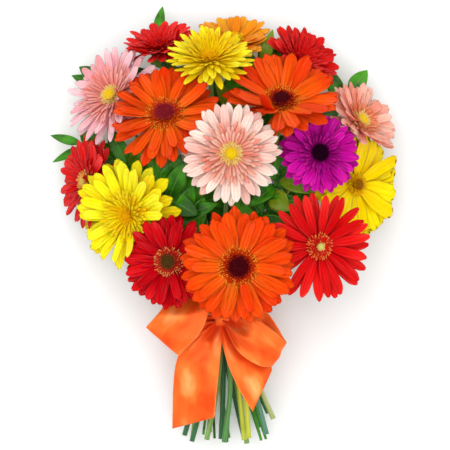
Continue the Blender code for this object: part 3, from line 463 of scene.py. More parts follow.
class Paint:
    """A material and short ways to add nodes to it."""

    def __init__(self, name, roughness, specular=0.4, sheen=0.0, coat=0.0, tint=(1, 1, 1)):
        self.material = bpy.data.materials.new(name)
        self.material.use_nodes = True
        self.tree = self.material.node_tree
        self.shader = self.tree.nodes["Principled BSDF"]
        self.fix({"Roughness": roughness, "Specular IOR Level": specular, "Sheen Weight": sheen,
                  "Coat Weight": coat, "Specular Tint": (*tint, 1), "Sheen Tint": (*tint, 1)})

    def fix(self, values):
        for name, value in values.items():
            self.shader.inputs[name].default_value = value

    def glow(self, share, reach):
        """Light that passes into a thin petal or leaf and out again, up to reach metres away."""
        self.fix({"Subsurface Weight": share, "Subsurface Scale": reach})

    def put(self, socket, value):
        if isinstance(value, bpy.types.NodeSocket):
            self.tree.links.new(value, socket)
        elif isinstance(value, tuple) and len(value) == 3 and len(socket.default_value) == 4:
            socket.default_value = (*value, 1)
        else:
            socket.default_value = value

    def node(self, kind, inputs, **settings):
        """A new node with some inputs filled and settings made."""
        made = self.tree.nodes.new("ShaderNode" + kind)
        for name, value in settings.items():
            setattr(made, name, value)
        for socket, value in inputs.items():
            self.put(made.inputs[socket], value)
        return made

    def look(self):
        """The sockets along, across, tone and side."""
        read = self.node("Attribute", {}, attribute_name="look")
        parts = self.node("SeparateColor", {0: read.outputs["Color"]})
        return parts.outputs[0], parts.outputs[1], parts.outputs[2], read.outputs["Alpha"]

    def sum(self, operation, a, b=0.0):
        return self.node("Math", {0: a, 1: b, 2: 0.0}, operation=operation).outputs[0]

    def times(self, a, b):
        return self.sum("MULTIPLY", a, b)

    def plus(self, a, b):
        return self.sum("ADD", a, b)

    def off(self, across):
        """Distance from the midline."""
        return self.sum("ABSOLUTE", self.sum("SUBTRACT", across, 0.5))

    def mix(self, share, a, b):
        return self.node("Mix", {0: share, 6: a, 7: b}, data_type="RGBA").outputs[2]

    def tint(self, base, colour, value, *span):
        """The base turned towards a colour as a value goes over its span."""
        return self.mix(self.span(value, *span), base, colour)

    def ramp(self, share, stops):
        node = self.node("ValToRGB", {0: share})
        while len(node.color_ramp.elements) < len(stops):
            node.color_ramp.elements.new(0.5)
        for element, (position, colour) in zip(node.color_ramp.elements, stops):
            element.position = position
            element.color = (*colour, 1)
        return node.outputs[0]

    def span(self, value, low, high, to_low=0.0, to_high=1.0):
        return self.node("MapRange", {0: value, 1: low, 2: high, 3: to_low, 4: to_high},
                         interpolation_type="SMOOTHSTEP").outputs[0]

    def place(self):
        return self.node("TexCoord", {}).outputs["Object"]

    def noise(self, vector, scale, detail):
        return self.node("TexNoise", {"Vector": vector, "Scale": scale, "Detail": detail}).outputs[0]

    def streaks(self, values, scales, detail):
        """Noise over three looks, each drawn out by its scale."""
        parts = {k: self.times(value, scale) for k, (value, scale) in enumerate(zip(values, scales))}
        return self.noise(self.node("CombineXYZ", parts).outputs[0], 1.0, detail)

    def bump(self, height, strength, distance):
        node = self.node("Bump", {"Strength": strength, "Distance": distance, "Height": height})
        self.put(self.shader.inputs["Normal"], node.outputs[0])

    def rough(self, value, *span):
        self.put(self.shader.inputs["Roughness"], self.span(value, *span))

    def colour(self, value):
        self.put(self.shader.inputs["Base Color"], value)
        return self.material


# root, middle, tip and back of each petal colour, and the deeper one that some petals take on
# the deeper one also serves as painted shade in the grooves and in broad patches over a bloom
PETALS = {
    "orange": "ff8c1a f9620c f04c0c d02c08 de2e06",
    "amber": "ee6c08 fc9c14 feb024 e8700e f47e0e",
    "red": "b40408 e61214 f22a24 9c0208 c4040a",
    "crimson": "8a000a d00612 e2161e 78020a ac000c",
    "yellow": "ffd800 ffea0e fff330 fcd608 ffdc00",
    "golden": "fcc400 ffdc00 ffe80a fdd000 fecc00",
    "pink": "f69e8c fccdc1 ffe9db f7bcb0 f8b6a8",
    "rose": "f38280 fbb4bc fed4d9 f3a6ac f79aa0",
    "salmon": "fa8462 fdaa96 ffc8b6 f8927c fa8c72",
    "magenta": "76005c c80296 de1aac 92006c 9a0078",
}
# the same for the short inner petals, where they differ
INNER_PETALS = {
    "pink": "e86e58 f49682 fcc8b4 ec806c f0806a",
    "rose": "e8685c f49286 fbbeb6 ec7c74 ee7a6e",
    "yellow": "f4b000 ffd800 ffe818 f4b600 fabe00",
    "salmon": "e85c2a f68254 fcac84 ec6a3e ee6032",
    "magenta": "4c003a 9c0074 c61098 6a004e 6e0054",
}


def petal_paint(name, codes):
    root, middle, tip, back, deep = shades(codes)
    paint = Paint(name, 0.5, 0.35, sheen=0.06, tint=tip)
    paint.glow(0.38, 0.0014)
    along, across, tone, side = paint.look()
    base = paint.ramp(along, [(0.0, root), (0.4, middle), (0.97, tip)])
    base = paint.tint(base, deep, tone, 0.45, 1.0, 0.0, 0.75)
    grain = paint.streaks((across, along, tone), (16, 1.5, 40), 3.0)
    base = paint.tint(base, deep, grain, 0.5, 0.74, 0.0, 0.6)
    base = paint.tint(base, tuple(c + (1 - c) * 0.12 for c in middle), grain, 0.46, 0.24, 0.0, 0.5)
    # painted shade: broad patches of the deeper colour over a bloom, standing in for uneven light
    base = paint.tint(base, deep, paint.noise(paint.place(), 17.0, 1.0), 0.42, 0.66, 0.0, 0.45)
    # painted shade: the grooves, most towards the root, take on the deeper colour where shade falls in them
    fold = paint.sum("ABSOLUTE", paint.sum("SINE", paint.times(across, math.pi * 3)))
    groove = paint.times(paint.span(fold, 0.45, 0.0), paint.span(paint.off(across), 0.38, 0.46, 1.0, 0.0))
    base = paint.mix(paint.times(groove, paint.span(along, 0.96, 0.4, 0.2, 0.7)), base, deep)
    base = paint.tint(base, back, side, 0.4, 0.9)
    value = paint.span(paint.noise(paint.place(), 38.0, 1.0), 0.3, 0.7, 0.9, 1.06)
    paint.bump(paint.plus(paint.times(groove, -1.0), grain), 0.6, 0.0005)
    paint.rough(grain, 0.3, 0.8, 0.42, 0.58)
    return paint.colour(paint.node("HueSaturation", {"Value": value, "Color": base}).outputs[0])


# For each kind of eye: share of its radius that the disc takes, reach of the florets round it,
# centre and rim of the disc, and root, body and tip of the florets
EYES = {
    "dark": (1.05, 1.05, "3e060e 700e16", "820808 d4340a f8a632"),
    "maroon": (1.08, 1.1, "7a1422 aa2c30", "8c160e de460e faac38"),
    "black": (1.05, 0.6, "1a0214 320426", "540040 960070 c41e96"),
    "brown": (0.85, 0.9, "463a14 844622", "7e060e ce281c f6b060"),
    "tawny": (0.7, 0.8, "965c0a c4820e", "d48204 f4ba06 fcd61e"),
    "gold": (0.6, 1.0, "eeaa08 f6ba08", "eca004 fac606 feda1e"),
    "cream": (0.74, 1.05, "fdd60a fad63c", "f6be68 fad480 fee89e"),
    "small": (0.5, 1.05, "e2de78 f8d678", "be0a0e e21e18 faa050"),
    "pale": (0.6, 1.0, "e2c464 eece6e", "ce3c1a eea046 f8dc82"),
    "red": (0.6, 1.0, "a0080e c41014", "aa060a dc1414 f03c2c"),
}


def disc_paint(name, codes):
    centre, rim = shades(codes)
    pale = srgb(min(255, int(c * 1.3) + 26) for c in bytes.fromhex(codes.split()[1]))
    paint = Paint(name, 0.6, 0.25, tint=rim)
    radial, height, tone, _ = paint.look()
    base = paint.ramp(radial, [(0.0, centre), (0.5, centre), (1.0, rim)])
    # painted shade: the low parts of the buds and the dome between them darken towards a quarter of the
    # centre colour, where shade falls between the buds
    base = paint.tint(base, tuple(c * 0.25 for c in centre), height, 1.0, 0.2, 0.0, 0.6)
    base = paint.tint(base, rim, tone, 0.5, 1.0, 0.0, 0.4)
    speck = paint.noise(paint.place(), 900.0, 2.0)
    base = paint.tint(base, pale, speck, 0.52, 0.8, 0.0, 0.4)
    paint.bump(speck, 0.4, 0.0003)
    paint.rough(speck, 0.3, 0.7, 0.5, 0.7)
    return paint.colour(base)


def floret_paint(name, codes):
    root, body, tip = shades(codes)
    paint = Paint(name, 0.55, 0.3, sheen=0.06, tint=tip)
    paint.glow(0.2, 0.0008)
    along, _, tone, _ = paint.look()
    base = paint.ramp(along, [(0.0, root), (0.4, body), (0.75, body), (0.9, tip)])
    base = paint.tint(base, paint.ramp(along, [(0.0, root), (0.8, body)]), tone, 0.5, 0.62)
    grain = paint.noise(paint.place(), 700.0, 2.0)
    base = paint.tint(base, root, grain, 0.45, 0.8, 0.0, 0.4)
    paint.bump(grain, 0.3, 0.0002)
    paint.rough(grain, 0.3, 0.7, 0.45, 0.62)
    return paint.colour(base)


def stem_paint(name, codes):
    low, high, cut = shades(codes)
    paint = Paint(name, 0.5, 0.35, sheen=0.15)
    along, round_it, tone, side = paint.look()
    fibre = paint.streaks((round_it, along, tone), (16, 5, 20), 3.0)
    base = paint.tint(low, high, fibre, 0.35, 0.7)
    blotch = paint.noise(paint.place(), 45.0, 2.0)
    base = paint.tint(base, tuple(c * 0.6 for c in low), blotch, 0.5, 0.75, 0.0, 0.35)
    base = paint.tint(base, cut, side, 0.05, 0.6)
    paint.bump(paint.plus(fibre, paint.noise(paint.place(), 1500.0, 1.0)), 0.35, 0.0004)
    return paint.colour(base)


def leaf_paint(name, codes):
    dark, light, olive, back = shades(codes)
    paint = Paint(name, 0.34, 0.35, coat=0.08, tint=(0.75, 1.0, 0.65))
    paint.glow(0.15, 0.001)
    paint.fix({"Coat Roughness": 0.22})
    along, across, tone, side = paint.look()
    off = paint.off(across)
    cloud = paint.noise(paint.place(), 55.0, 3.0)
    base = paint.tint(dark, light, cloud, 0.3, 0.65)
    base = paint.tint(base, dark, tone, 0.0, 0.45, 0.7, 0.0)
    base = paint.tint(base, olive, tone, 0.88, 0.95, 0.0, 0.75)
    lines = paint.sum("SINE", paint.times(paint.plus(off, paint.times(along, -0.12)), 95))
    base = paint.tint(base, back, lines, 0.4, 1.0, 0.0, 0.16)
    rib = paint.span(off, 0.03, 0.008)
    base = paint.mix(paint.times(rib, 0.45), base, back)
    base = paint.tint(base, back, off, 0.455, 0.495, 0.0, 0.65)
    base = paint.tint(base, back, side, 0.5, 0.9, 0.0, 0.8)
    paint.bump(paint.plus(paint.times(lines, 0.3), paint.times(rib, -2.0)), 0.45, 0.0004)
    paint.rough(cloud, 0.3, 0.8, 0.24, 0.4)
    return paint.colour(base)


def satin_paint(name, codes):
    shine, low, middle, high, deep, edge = shades(codes)
    paint = Paint(name, 0.3, 0.8, sheen=0.15, tint=shine)
    paint.fix({"Metallic": 0.25})
    along, across, tone, _ = paint.look()
    looks = (across, along, tone)
    # painted highlight and painted shade: broad streaks run the satin from a darker painted shade (low)
    # through its own orange (middle) to a peach painted highlight (high)
    cloud = paint.streaks(looks, (2.2, 8, 2), 2.0)
    base = paint.ramp(cloud, [(0.32, low), (0.54, middle), (0.74, high)])
    # painted shade: the deep colour near the knot, where the gathered folds fall into shade
    base = paint.tint(base, deep, tone, 0.12, 0.6, 0.7, 0.0)
    # painted highlight: a lighter band along both edges, standing in for the light on the curled edges
    base = paint.tint(base, edge, paint.off(across), 0.475, 0.492, 0.0, 0.6)
    thread = paint.plus(*(paint.sum("SINE", paint.times(*pair)) for pair in ((along, 900), (across, 380))))
    crease = paint.streaks(looks, (9, 14, 5), 3.0)
    ripple = paint.noise(paint.place(), 60.0, 1.0)
    height = paint.plus(paint.times(crease, 0.5), paint.times(ripple, 1.6))
    paint.bump(paint.plus(paint.times(thread, 0.015), height), 0.4, 0.0012)
    paint.rough(cloud, 0.3, 0.7, 0.28, 0.38)
    return paint.colour(base)


# Obstacles, for bending petals clear of what they would cross
def tree_of(points, faces):
    return BVHTree.FromPolygons(points.tolist(), [tuple(f) for f in faces])


class Crowd:
    """Shapes already placed, with their boxes for a first test."""

    def __init__(self):
        self.trees, self.lows, self.highs, self.groups = [], [], [], []

    def add(self, shape, group):
        points, faces, _ = shape
        self.trees.append(tree_of(points, faces))
        self.lows.append(points.min(axis=0))
        self.highs.append(points.max(axis=0))
        self.groups.append(group)

    def hit(self, shape, group):
        """Whether a shape crosses one of another group."""
        points, faces, _ = shape
        meets = np.all(np.array(self.lows) <= points.max(axis=0), axis=1)
        meets &= np.all(np.array(self.highs) >= points.min(axis=0), axis=1)
        found = [k for k in np.flatnonzero(meets) if self.groups[k] != group]
        tree = tree_of(points, faces) if found else None
        return any(tree.overlap(self.trees[k]) for k in found)


# what a petal tries to come clear: bends up and down, then a smaller size, with room kept round it
BENDS = [math.radians(a) for a in (0, 4, -4, 8, -8, 13, -13, 18, -18, 24, -24, 32, -32, 42, -42)]
SHRINKS = (1.0, 0.92, 0.82, 0.72, 0.6, 0.5)
CLEAR = 0.35
# cells along and across a petal, for tests and for the fine mesh, and sides of turned shapes
ROUGH = (7, 4)
FINE = (12, 8)
ROUND = 24
# how far a petal may pass the box that the solids fill
BOX_ROOM = 2.0
BOX_LOW = np.array(cad_box[0]) / MM + ORIGIN - (BOX_ROOM, BOX_ROOM, 0)
BOX_HIGH = np.array(cad_box[1]) / MM + ORIGIN + BOX_ROOM
crowd = Crowd()


def settle(ray, axes, group):
    """The ray bent, and if need be made smaller, clear of the other pieces; or None."""
    for shrink, bend in product(SHRINKS, BENDS):
        trial = ray._replace(lift=ray.lift + bend * 0.3, curl=ray.curl + bend,
                             length=ray.length * shrink, width=ray.width * shrink)
        shape = blade(axes, trial, *ROUGH, CLEAR)
        if (shape[0] >= BOX_LOW).all() and (shape[0] <= BOX_HIGH).all() and not crowd.hit(shape, group):
            return trial
    return None


def pair(crowding, share, extra=4, reach=0.95):
    """The two outermost layers of a bloom."""
    return [(1.0, -4, crowding, share, -3.8), (reach, extra, crowding, share, -0.8)]


# For each kind of bloom, its layers from the outside in: share of the radius that it reaches,
# added lift in degrees, petals for each petal of the solid, share of the width, rise at the root
LAYERS = {
    "single": [*pair(1.7, 0.98, 3), (0.84, 8, 0.9, 0.8, -0.2)],
    "broad": pair(1.7, 1.0, 3, 0.96),
    "wide": pair(1.4, 1.5, 3, 0.97),
    "narrow": pair(1.4, 0.94),
    "full": [*pair(1.6, 1.1, 3), (0.86, 9, 1.2, 0.9, 0.2), (0.5, 16, 2.6, 0.32, 0.9),
             (0.43, 23, 2.8, 0.28, 1.3), (0.36, 32, 2.8, 0.24, 1.7)],
    "fringed": [*pair(1.8, 1.0), (0.84, 8, 0.9, 0.8, -0.2), (0.56, 15, 2.2, 0.34, 0.8),
                (0.46, 24, 2.2, 0.28, 1.4)],
    "crested": [*pair(1.7, 0.94), (0.66, 10, 2.5, 0.36, 0.6), (0.57, 16, 2.6, 0.32, 1.0),
                (0.48, 24, 2.6, 0.3, 1.4)],
    "double": [*pair(1.6, 0.98), (0.85, 10, 1.5, 0.74, 0.4), (0.7, 17, 2.1, 0.46, 0.9),
               (0.57, 25, 2.6, 0.32, 1.4), (0.44, 34, 2.8, 0.26, 1.8)],
    "spidery": [*pair(1.7, 0.88, 5), (0.87, 13, 1.7, 0.7, 0.4), (0.74, 21, 2.3, 0.5, 0.9),
                (0.6, 31, 2.7, 0.38, 1.4), (0.46, 43, 2.8, 0.32, 1.8)],
}
BLUNT = {"single": 0.8, "broad": 0.82, "wide": 0.88, "full": 0.8, "narrow": 0.72, "fringed": 0.78,
         "crested": 0.76, "double": 0.76, "spidery": 0.55}
PETAL_START = 6.0
# layers that reach further than this count as outer petals and get the fine mesh
OUTER_REACH = 0.75
# petals lie by turns a little higher and a little lower: degrees of lift, and rise at the root
STAGGER_LIFT = 1.8
STAGGER_RISE = 0.35
# how far angles round a bloom stray, as shares of the spacing of petals, florets and bracts
STRAY = (0.13, 0.25, 0.15)
# share of the petals that are curled and rolled more than the rest
UNRULY = 0.14
LOW = CORE_TOP + GAP


def lean(rng, low, high):
    """A random angle between two in degrees."""
    return math.radians(rng.uniform(low, high))


def around(row, count, stray, rng):
    """Numbers and angles of a row of blades, every second row set off by half a spacing."""
    for k in range(count):
        yield k, math.tau * (k + row * 0.5 + rng.uniform(-stray, stray)) / count


def petals_of(bloom, rng):
    """Ray petals of a bloom for the fine mesh: the outer ones, and the short inner ones."""
    axes = frame_of(bloom)
    outer, inner = [], []
    for layer, (reach, extra, crowding, share, rise) in enumerate(LAYERS[bloom.kind]):
        long = reach > OUTER_REACH
        for k, angle in around(layer, round(bloom.count * crowding), STRAY[0], rng):
            step = 1 if k % 2 else -1
            lift = bloom.cup + bloom.sway * math.sin(angle) + extra + rng.uniform(-2.5, 2.5)
            lift += STAGGER_LIFT * step
            wild = rng.random() < UNRULY
            length = bloom.radius * reach * rng.uniform(0.95, 1.02) - PETAL_START
            ray = Ray(angle, PETAL_START, rise + STAGGER_RISE * step, length, math.radians(lift),
                      lean(rng, 8, 30) if wild else lean(rng, -9, 5),
                      bloom.width * share * rng.uniform(0.9, 1.12),
                      BLUNT[bloom.kind] + rng.uniform(-0.05, 0.05), rng.uniform(0.3, 0.5),
                      rng.uniform(0.3, 0.55) if wild else rng.uniform(0.0, 0.2),
                      rng.uniform(0.08, 0.17) if long else 0.0, lean(rng, -4, 4), lean(rng, 2, 9),
                      lean(rng, -24, 24) if wild else lean(rng, -8, 8), 0.5, rng.random())
            ray = settle(ray, axes, bloom.name)
            if ray is None:
                continue
            rough = blade(axes, ray, *ROUGH)
            crowd.add(rough, bloom.name)
            if long:
                outer.append(blade(axes, ray, *FINE))
            else:
                inner.append(rough)
    return outer, inner


# Rows of the ring of short florets: lift in degrees, length, rise and florets for each mm of the
# disc's radius, from the outside in
RING_ROWS = ((12, 10.2, 0.6, 7.6), (20, 9.2, 1.2, 8.6), (31, 8.0, 1.8, 9.2), (46, 6.4, 2.4, 8.8),
             (64, 4.6, 3.0, 7.2))
# share of each row, from the outside, whose tips are paler
TIPPED = (0.95, 0.7, 0.4, 0.15, 0.0)


def ring_of(bloom, rng):
    """The short florets that stand close round the disc."""
    axes = frame_of(bloom)
    share, reach = EYES[bloom.eye][:2]
    r = bloom.eye_radius * share
    made = []
    for row, (lift, length, rise, crowding) in enumerate(RING_ROWS):
        for _, angle in around(row, round(bloom.eye_radius * crowding), STRAY[1], rng):
            up = math.radians(lift + (bloom.cup + bloom.sway * math.sin(angle)) * 0.8 + rng.uniform(-8, 8))
            tone = rng.uniform(0, 0.5) if rng.random() < TIPPED[row] else rng.uniform(0.62, 1)
            ray = Ray(angle, r * (0.96 - 0.05 * row), rise, length * reach * rng.uniform(0.72, 1.08), up,
                      lean(rng, -40, 20), rng.uniform(0.95, 1.35), 0.6, 0.5, 0.3, 0.0, lean(rng, -7, 7),
                      0.0, lean(rng, -20, 20), 0.45, tone)
            made.append(blade(axes, ray, 4, 2))
    return made


GOLDEN_ANGLE = math.radians(137.507764)
# rings of the dome under the buds: share of the disc's radius, and height
DOME = ((0.6, -4.6), (0.66, LOW), (0.97, LOW + 2.0), (0.8, LOW + 3.4), (0.4, LOW + 4.3))
BUDS_PER_AREA = 2.6
BUD_SIDES = 5


def disc_of(bloom, rng):
    """The dome of the eye and its close spiral of buds."""
    axes = frame_of(bloom)
    turn, place = axes
    r = bloom.eye_radius * EYES[bloom.eye][0]
    # the dome's height look of 0.1 puts it in the painted shade between the buds
    made = [turned(axes, [(r * share, height) for share, height in DOME], ROUND, (0.5, 0.1, 0.5, 0))]
    count = round(r * r * BUDS_PER_AREA)
    turns = circle(BUD_SIDES)
    for i in range(count):
        share = math.sqrt((i + 0.5) / count)
        angle = i * GOLDEN_ANGLE
        out = np.array((math.cos(angle), math.sin(angle), 0))
        base = out * r * share + (0, 0, LOW + 4.0 - 1.9 * share ** 2)
        up = unit(np.array((math.cos(angle) * share * 0.7, math.sin(angle) * share * 0.7, 1.0)))
        side = unit(np.cross(up, (0.3, 1.0, 0.1)))
        other = np.cross(up, side)
        wide = r / math.sqrt(count) * rng.uniform(0.78, 0.95)
        tall = (0.7 + 1.5 * share ** 2) * rng.uniform(0.8, 1.25)
        ring = np.cos(turns)[:, None] * side + np.sin(turns)[:, None] * other
        low, high = base - up * 0.6, base + up * tall * 1.1
        points = np.concatenate((low + ring * wide * 0.7, base + up * tall * 0.5 + ring * wide,
                                 base + up * tall * 0.9 + ring * wide * 0.6, [low], [high]))
        # the base ring of each bud has height 0, the deepest painted shade
        heights = np.concatenate((np.repeat((0, 0.7, 1), BUD_SIDES), (0, 1)))
        look = look_of(np.full(len(points), share), heights, rng.random())
        made.append((points @ turn.T + place, ring_faces(3, BUD_SIDES), look))
    return made


# the cup under the petals, as rings of radius and height, and its rows of bracts: place and
# height of the root, lift in degrees, length and number
CUP = [(2.6, -17.0), (3.4, -15.2), (5.6, -12.8), (8.0, -10.4), (9.3, -8.0), (9.6, -6.2)]
BRACT_ROWS = ((3.0, -16.4, 42, 7.0, 11), (5.2, -14.0, 46, 7.5, 14), (7.4, -11.8, 60, 7.0, 16),
              (8.9, -9.8, 72, 5.6, 18))


def calyx_of(bloom, rng):
    """The cup under the petals, with rows of narrow pointed bracts."""
    axes = frame_of(bloom)
    made = [turned(axes, CUP, ROUND, (0.9, 0.5, 0.5, 0))]
    for row, (root, rise, lift, length, count) in enumerate(BRACT_ROWS):
        for _, angle in around(row, count, STRAY[2], rng):
            reach = length * rng.uniform(0.85, 1.05)
            ray = Ray(angle, root, rise, reach, math.radians(lift), math.radians(14), rng.uniform(2.2, 2.9),
                      0.35, 0.12, -0.25, 0.0, lean(rng, -5, 5), 0.0, 0.0, 0.5, rng.random())
            made.append(blade(axes, ray, 6, 2))
    return made


def stem_of(bloom, path):
    """The stem, widening a little into the cup."""
    faces = np.array(Vector(bloom.faces).normalized())
    path = np.concatenate((path, [np.array(bloom.place) - faces * 15.0]))
    fine = smooth_path(path, 6)
    fine[:, 2] = np.maximum(fine[:, 2], GROUND + STEM_RADIUS * 0.94)
    radii = np.full(len(fine), STEM_RADIUS)
    radii[:6] *= np.linspace(1.06, 1.0, 6)
    radii[-8:] *= np.linspace(1.0, 1.25, 8)
    return fine, radii


# Leaves
def path_distance(points, path):
    """Distance of each point to a path."""
    best = np.full(len(points), np.inf)
    for a, b in zip(path[:-1], path[1:]):
        run = b - a
        t = np.clip((points - a) @ run / max(run @ run, 1e-9), 0, 1)
        best = np.minimum(best, np.linalg.norm(points - (a + t[:, None] * run), axis=1))
    return best


# The two outer rings of a packed leaf leave 0.48 and 0.2 of its length to the tip, and stand out
# by 0.8 and 0.7 of its arch. These numbers take the length and the arch back out of the two rings.
LEFT_TO_TIP = 0.48
MIDDLE_ARCH = 0.8
RING_RATIO = 0.41667
ARCH_LEFT = 0.36667
# points that are fewer than this are no leaf, and corners of each of its rings
LEAF_POINTS = 9
CORNERS = 4


def packed_leaves(name, path):
    """Each leaf of a spray as its solid has it: base, tip, side vector, half width and arch."""
    mesh = frame["nodes"][name].data
    raw = np.array([v.co for v in mesh.vertices], float).reshape(-1, 3) / MM + ORIGIN
    keys = {}
    merged = [keys.setdefault(tuple(np.round(p, 2)), len(keys)) for p in raw]
    points = np.array(list(keys))
    links = {k: set() for k in range(len(points))}
    for edge in mesh.edges:
        a, b = (merged[i] for i in edge.vertices)
        links[a].add(b)
        links[b].add(a)
    gap = path_distance(points, path)
    free = gap > TWIG_RADIUS * 1.45
    seen = set()
    leaves = []
    for start in range(len(points)):
        if start in seen or not free[start]:
            continue
        group, queue = [], [start]
        seen.add(start)
        while queue:
            k = queue.pop()
            group.append(k)
            for other in links[k]:
                if other not in seen and free[other]:
                    seen.add(other)
                    queue.append(other)
        if len(group) < LEAF_POINTS:
            continue
        part = points[group]
        tip = part[np.argmax(gap[group])]
        order = part[np.argsort(np.linalg.norm(part - tip, axis=1))]
        high, middle = order[1:1 + CORNERS], order[1 + CORNERS:1 + 2 * CORNERS]
        spans = [middle[i] - middle[j] for i in range(CORNERS) for j in range(i)]
        wide = max(spans, key=np.linalg.norm)
        d, e = tip - middle.mean(axis=0), tip - high.mean(axis=0)
        arch = (RING_RATIO * d - e) / ARCH_LEFT
        whole = (d + MIDDLE_ARCH * arch) / LEFT_TO_TIP
        leaves.append((tip - whole, tip, wide / np.linalg.norm(wide), np.linalg.norm(wide) / 2, arch))
    return leaves


def leaf_shape(base, tip, side, half, arch, rng, nu=14, nv=8):
    """Fine glossy leaf on the form of a packed one: folded at the midrib, waved and pointed."""
    s = 1 - (1 - np.linspace(0, 1, nu + 1)) ** 1.25
    t = np.linspace(-1, 1, nv + 1)
    run = tip - base
    along = unit(run)
    side = unit(side - along * (side @ along))
    up = np.cross(side, along)
    if up @ arch < 0:
        side, up = -side, -up
    centre = base + run * s[:, None] + arch * (np.sin(math.pi * s ** 0.9))[:, None] * 0.9
    wide = half * np.sin(math.pi * np.clip(s, 0, 1) ** 0.85) ** 0.82
    wide = np.maximum(wide, 0.35)
    fold = rng.uniform(0.16, 0.34)
    wave = rng.uniform(0, math.tau)
    flutter = 0.06 * wide * np.sin(s * 9 + wave)
    rise = wide[:, None] * (fold * np.abs(t) ** 1.3) + flutter[:, None] * (t * t * np.sign(t))
    middle = centre[:, None, :] + side * (wide[:, None] * t)[:, :, None] + up * rise[:, :, None]
    offset = np.ones((nu + 1, nv + 1, 1)) * up * 0.3
    return lens(middle, offset, look_of(s[:, None], t / 2 + 0.5, rng.random()))


def rough_leaf(leaf):
    """A leaf with few faces, for tests."""
    return leaf_shape(*leaf, random.Random(1), 5, 2)


# sprays that carry further leaves, how far from the middle those may reach, and where along the
# twig, how small and how steep they are tried
FILLED = ("ruscus_middle_left", "ruscus_middle_right", "ruscus_inner_left", "ruscus_back_left",
          "ruscus_back_right", "ruscus_back", "ruscus_left", "ruscus_top", "ruscus_upper_right")
FILL_MIDDLE = (0, 160)
FILL_REACH = 112
FILL_SHARES = [0.36 + 0.045 * k for k in range(14)]
FILL_SHRINKS = (1.0, 0.8, 0.64)
FILL_RISES = [math.radians(a) for a in (12, -6, 30, -24, 48)]
FILL_ARCH = 2.5


def filling(name, path, rng):
    """Leaves set alternately along a twig wherever they fit between the other pieces."""
    found = []
    for number, share in enumerate(FILL_SHARES):
        spot = share * (len(path) - 1)
        base = path[int(spot)]
        along = unit(path[min(int(spot) + 2, len(path) - 1)] - path[int(spot) - 2])
        across = unit(np.cross(along, (0, 0, 1.0)) * (1 if number % 2 else -1))
        upright = np.cross(across, along)
        upright = upright if upright[2] > 0 else -upright
        spread = math.radians(rng.uniform(35, 65))
        length, half = rng.uniform(34, 44), rng.uniform(8, 11)
        for shrink, rise in product(FILL_SHRINKS, FILL_RISES):
            way = along * math.cos(spread) + across * math.sin(spread)
            way = way * math.cos(rise) + upright * math.sin(rise)
            tip = base + way * length * shrink
            if math.dist(tip[:2], FILL_MIDDLE) > FILL_REACH:
                continue
            leaf = (base, tip, unit(np.cross(way, upright)), half * shrink, upright * FILL_ARCH)
            rough = rough_leaf(leaf)
            if rough[0][:, 2].min() >= GROUND + 1 and not crowd.hit(rough, name):
                found.append(leaf)
                break
    return found


# Ribbon
RIBBON_WIDTH = 45.0
RIBBON_HALF_THICK = 0.2
RIBBON_SECTIONS = {
    "left_loop": [((-7, 6, 25.5), (2, 5, 26)), ((-34, 25, 32), (0, 24, 38)),
                  ((-54, 22, 42), (-10, 24, 48)), ((-67, 7, 46), (-22, -8, 54)),
                  ((-77, -4, 44), (-42, -31, 49)), ((-78, -6, 39), (-45, -35, 43)),
                  ((-66, 2, 32), (-35, -25, 35)), ((-36, 7, 27), (-18, -10, 29)),
                  ((-7, 3, 19.5), (-2, -5, 19.5))],
    "right_loop": [((0, 5, 21.5), (-1, -4, 21)), ((24, 20, 31), (20, -12, 30)),
                   ((44, 8, 32), (34, -28, 31)), ((61, -18, 37), (49, -42, 35)),
                   ((62, -21, 42), (48, -46, 41)), ((48, -8, 49), (34, -44, 50)),
                   ((26, 6, 48), (14, -30, 49)), ((2, 5, 26.5), (0, -5, 26.5))],
    "left_tail": [((-7, 0, 23), (-1, -5, 23)), ((-29, -15, 29), (-2, -20, 31)),
                  ((-47, -37, 29), (-4, -40, 35)), ((-52, -70, 26), (-7, -70, 38)),
                  ((-53, -112, 21), (-10, -98, 42))],
    "right_tail": [((-4, -4, 23.5), (5, -2, 23.5)), ((-2, -22, 31), (22, -13, 27.5)),
                   ((4, -45, 36), (39, -28, 28)), ((15, -69, 40), (47, -40, 29)),
                   ((29, -92, 42), (49, -51, 30))],
}
# waves across the cloth at the knot, and how far a fold may stand out of it
PLEATS = {"left_loop": 2.5, "right_loop": 2.0, "left_tail": 1.5, "right_tail": 2.0}
MOST_FOLD = 3.6
# share of a strip, from the knot, at which its pleats have opened out
PLEATS_END = 0.6


def pleat_height(chord, waves):
    """Height of the waves that takes up the cloth's width over a shorter chord."""
    t = np.linspace(0, 1, 60)
    low, high = 0.0, MOST_FOLD
    for _ in range(18):
        middle = (low + high) / 2
        curve = np.stack((t * chord, middle * np.sin(math.tau * waves * t)), axis=1)
        if np.linalg.norm(np.diff(curve, axis=0), axis=1).sum() < RIBBON_WIDTH:
            low = middle
        else:
            high = middle
    return low


# height and length of the slow ripples that run over an open stretch of ribbon
RIPPLE = 0.9
RIPPLE_LENGTH = 34.0


def ripples(along, t, seed):
    """Soft hollows and ridges of loose satin, for rows at along mm and columns at t across."""
    u = along[:, None] / RIPPLE_LENGTH
    slow = np.sin(math.tau * (u + 0.7 * t) + seed * 5)
    slow = slow + 0.7 * np.sin(math.tau * (0.55 * u - 1.1 * t) + seed * 9)
    return RIPPLE * slow * (0.35 + 0.65 * np.sin(math.pi * t))


STRIP_STEPS = 9
STRIP_COLUMNS = 29


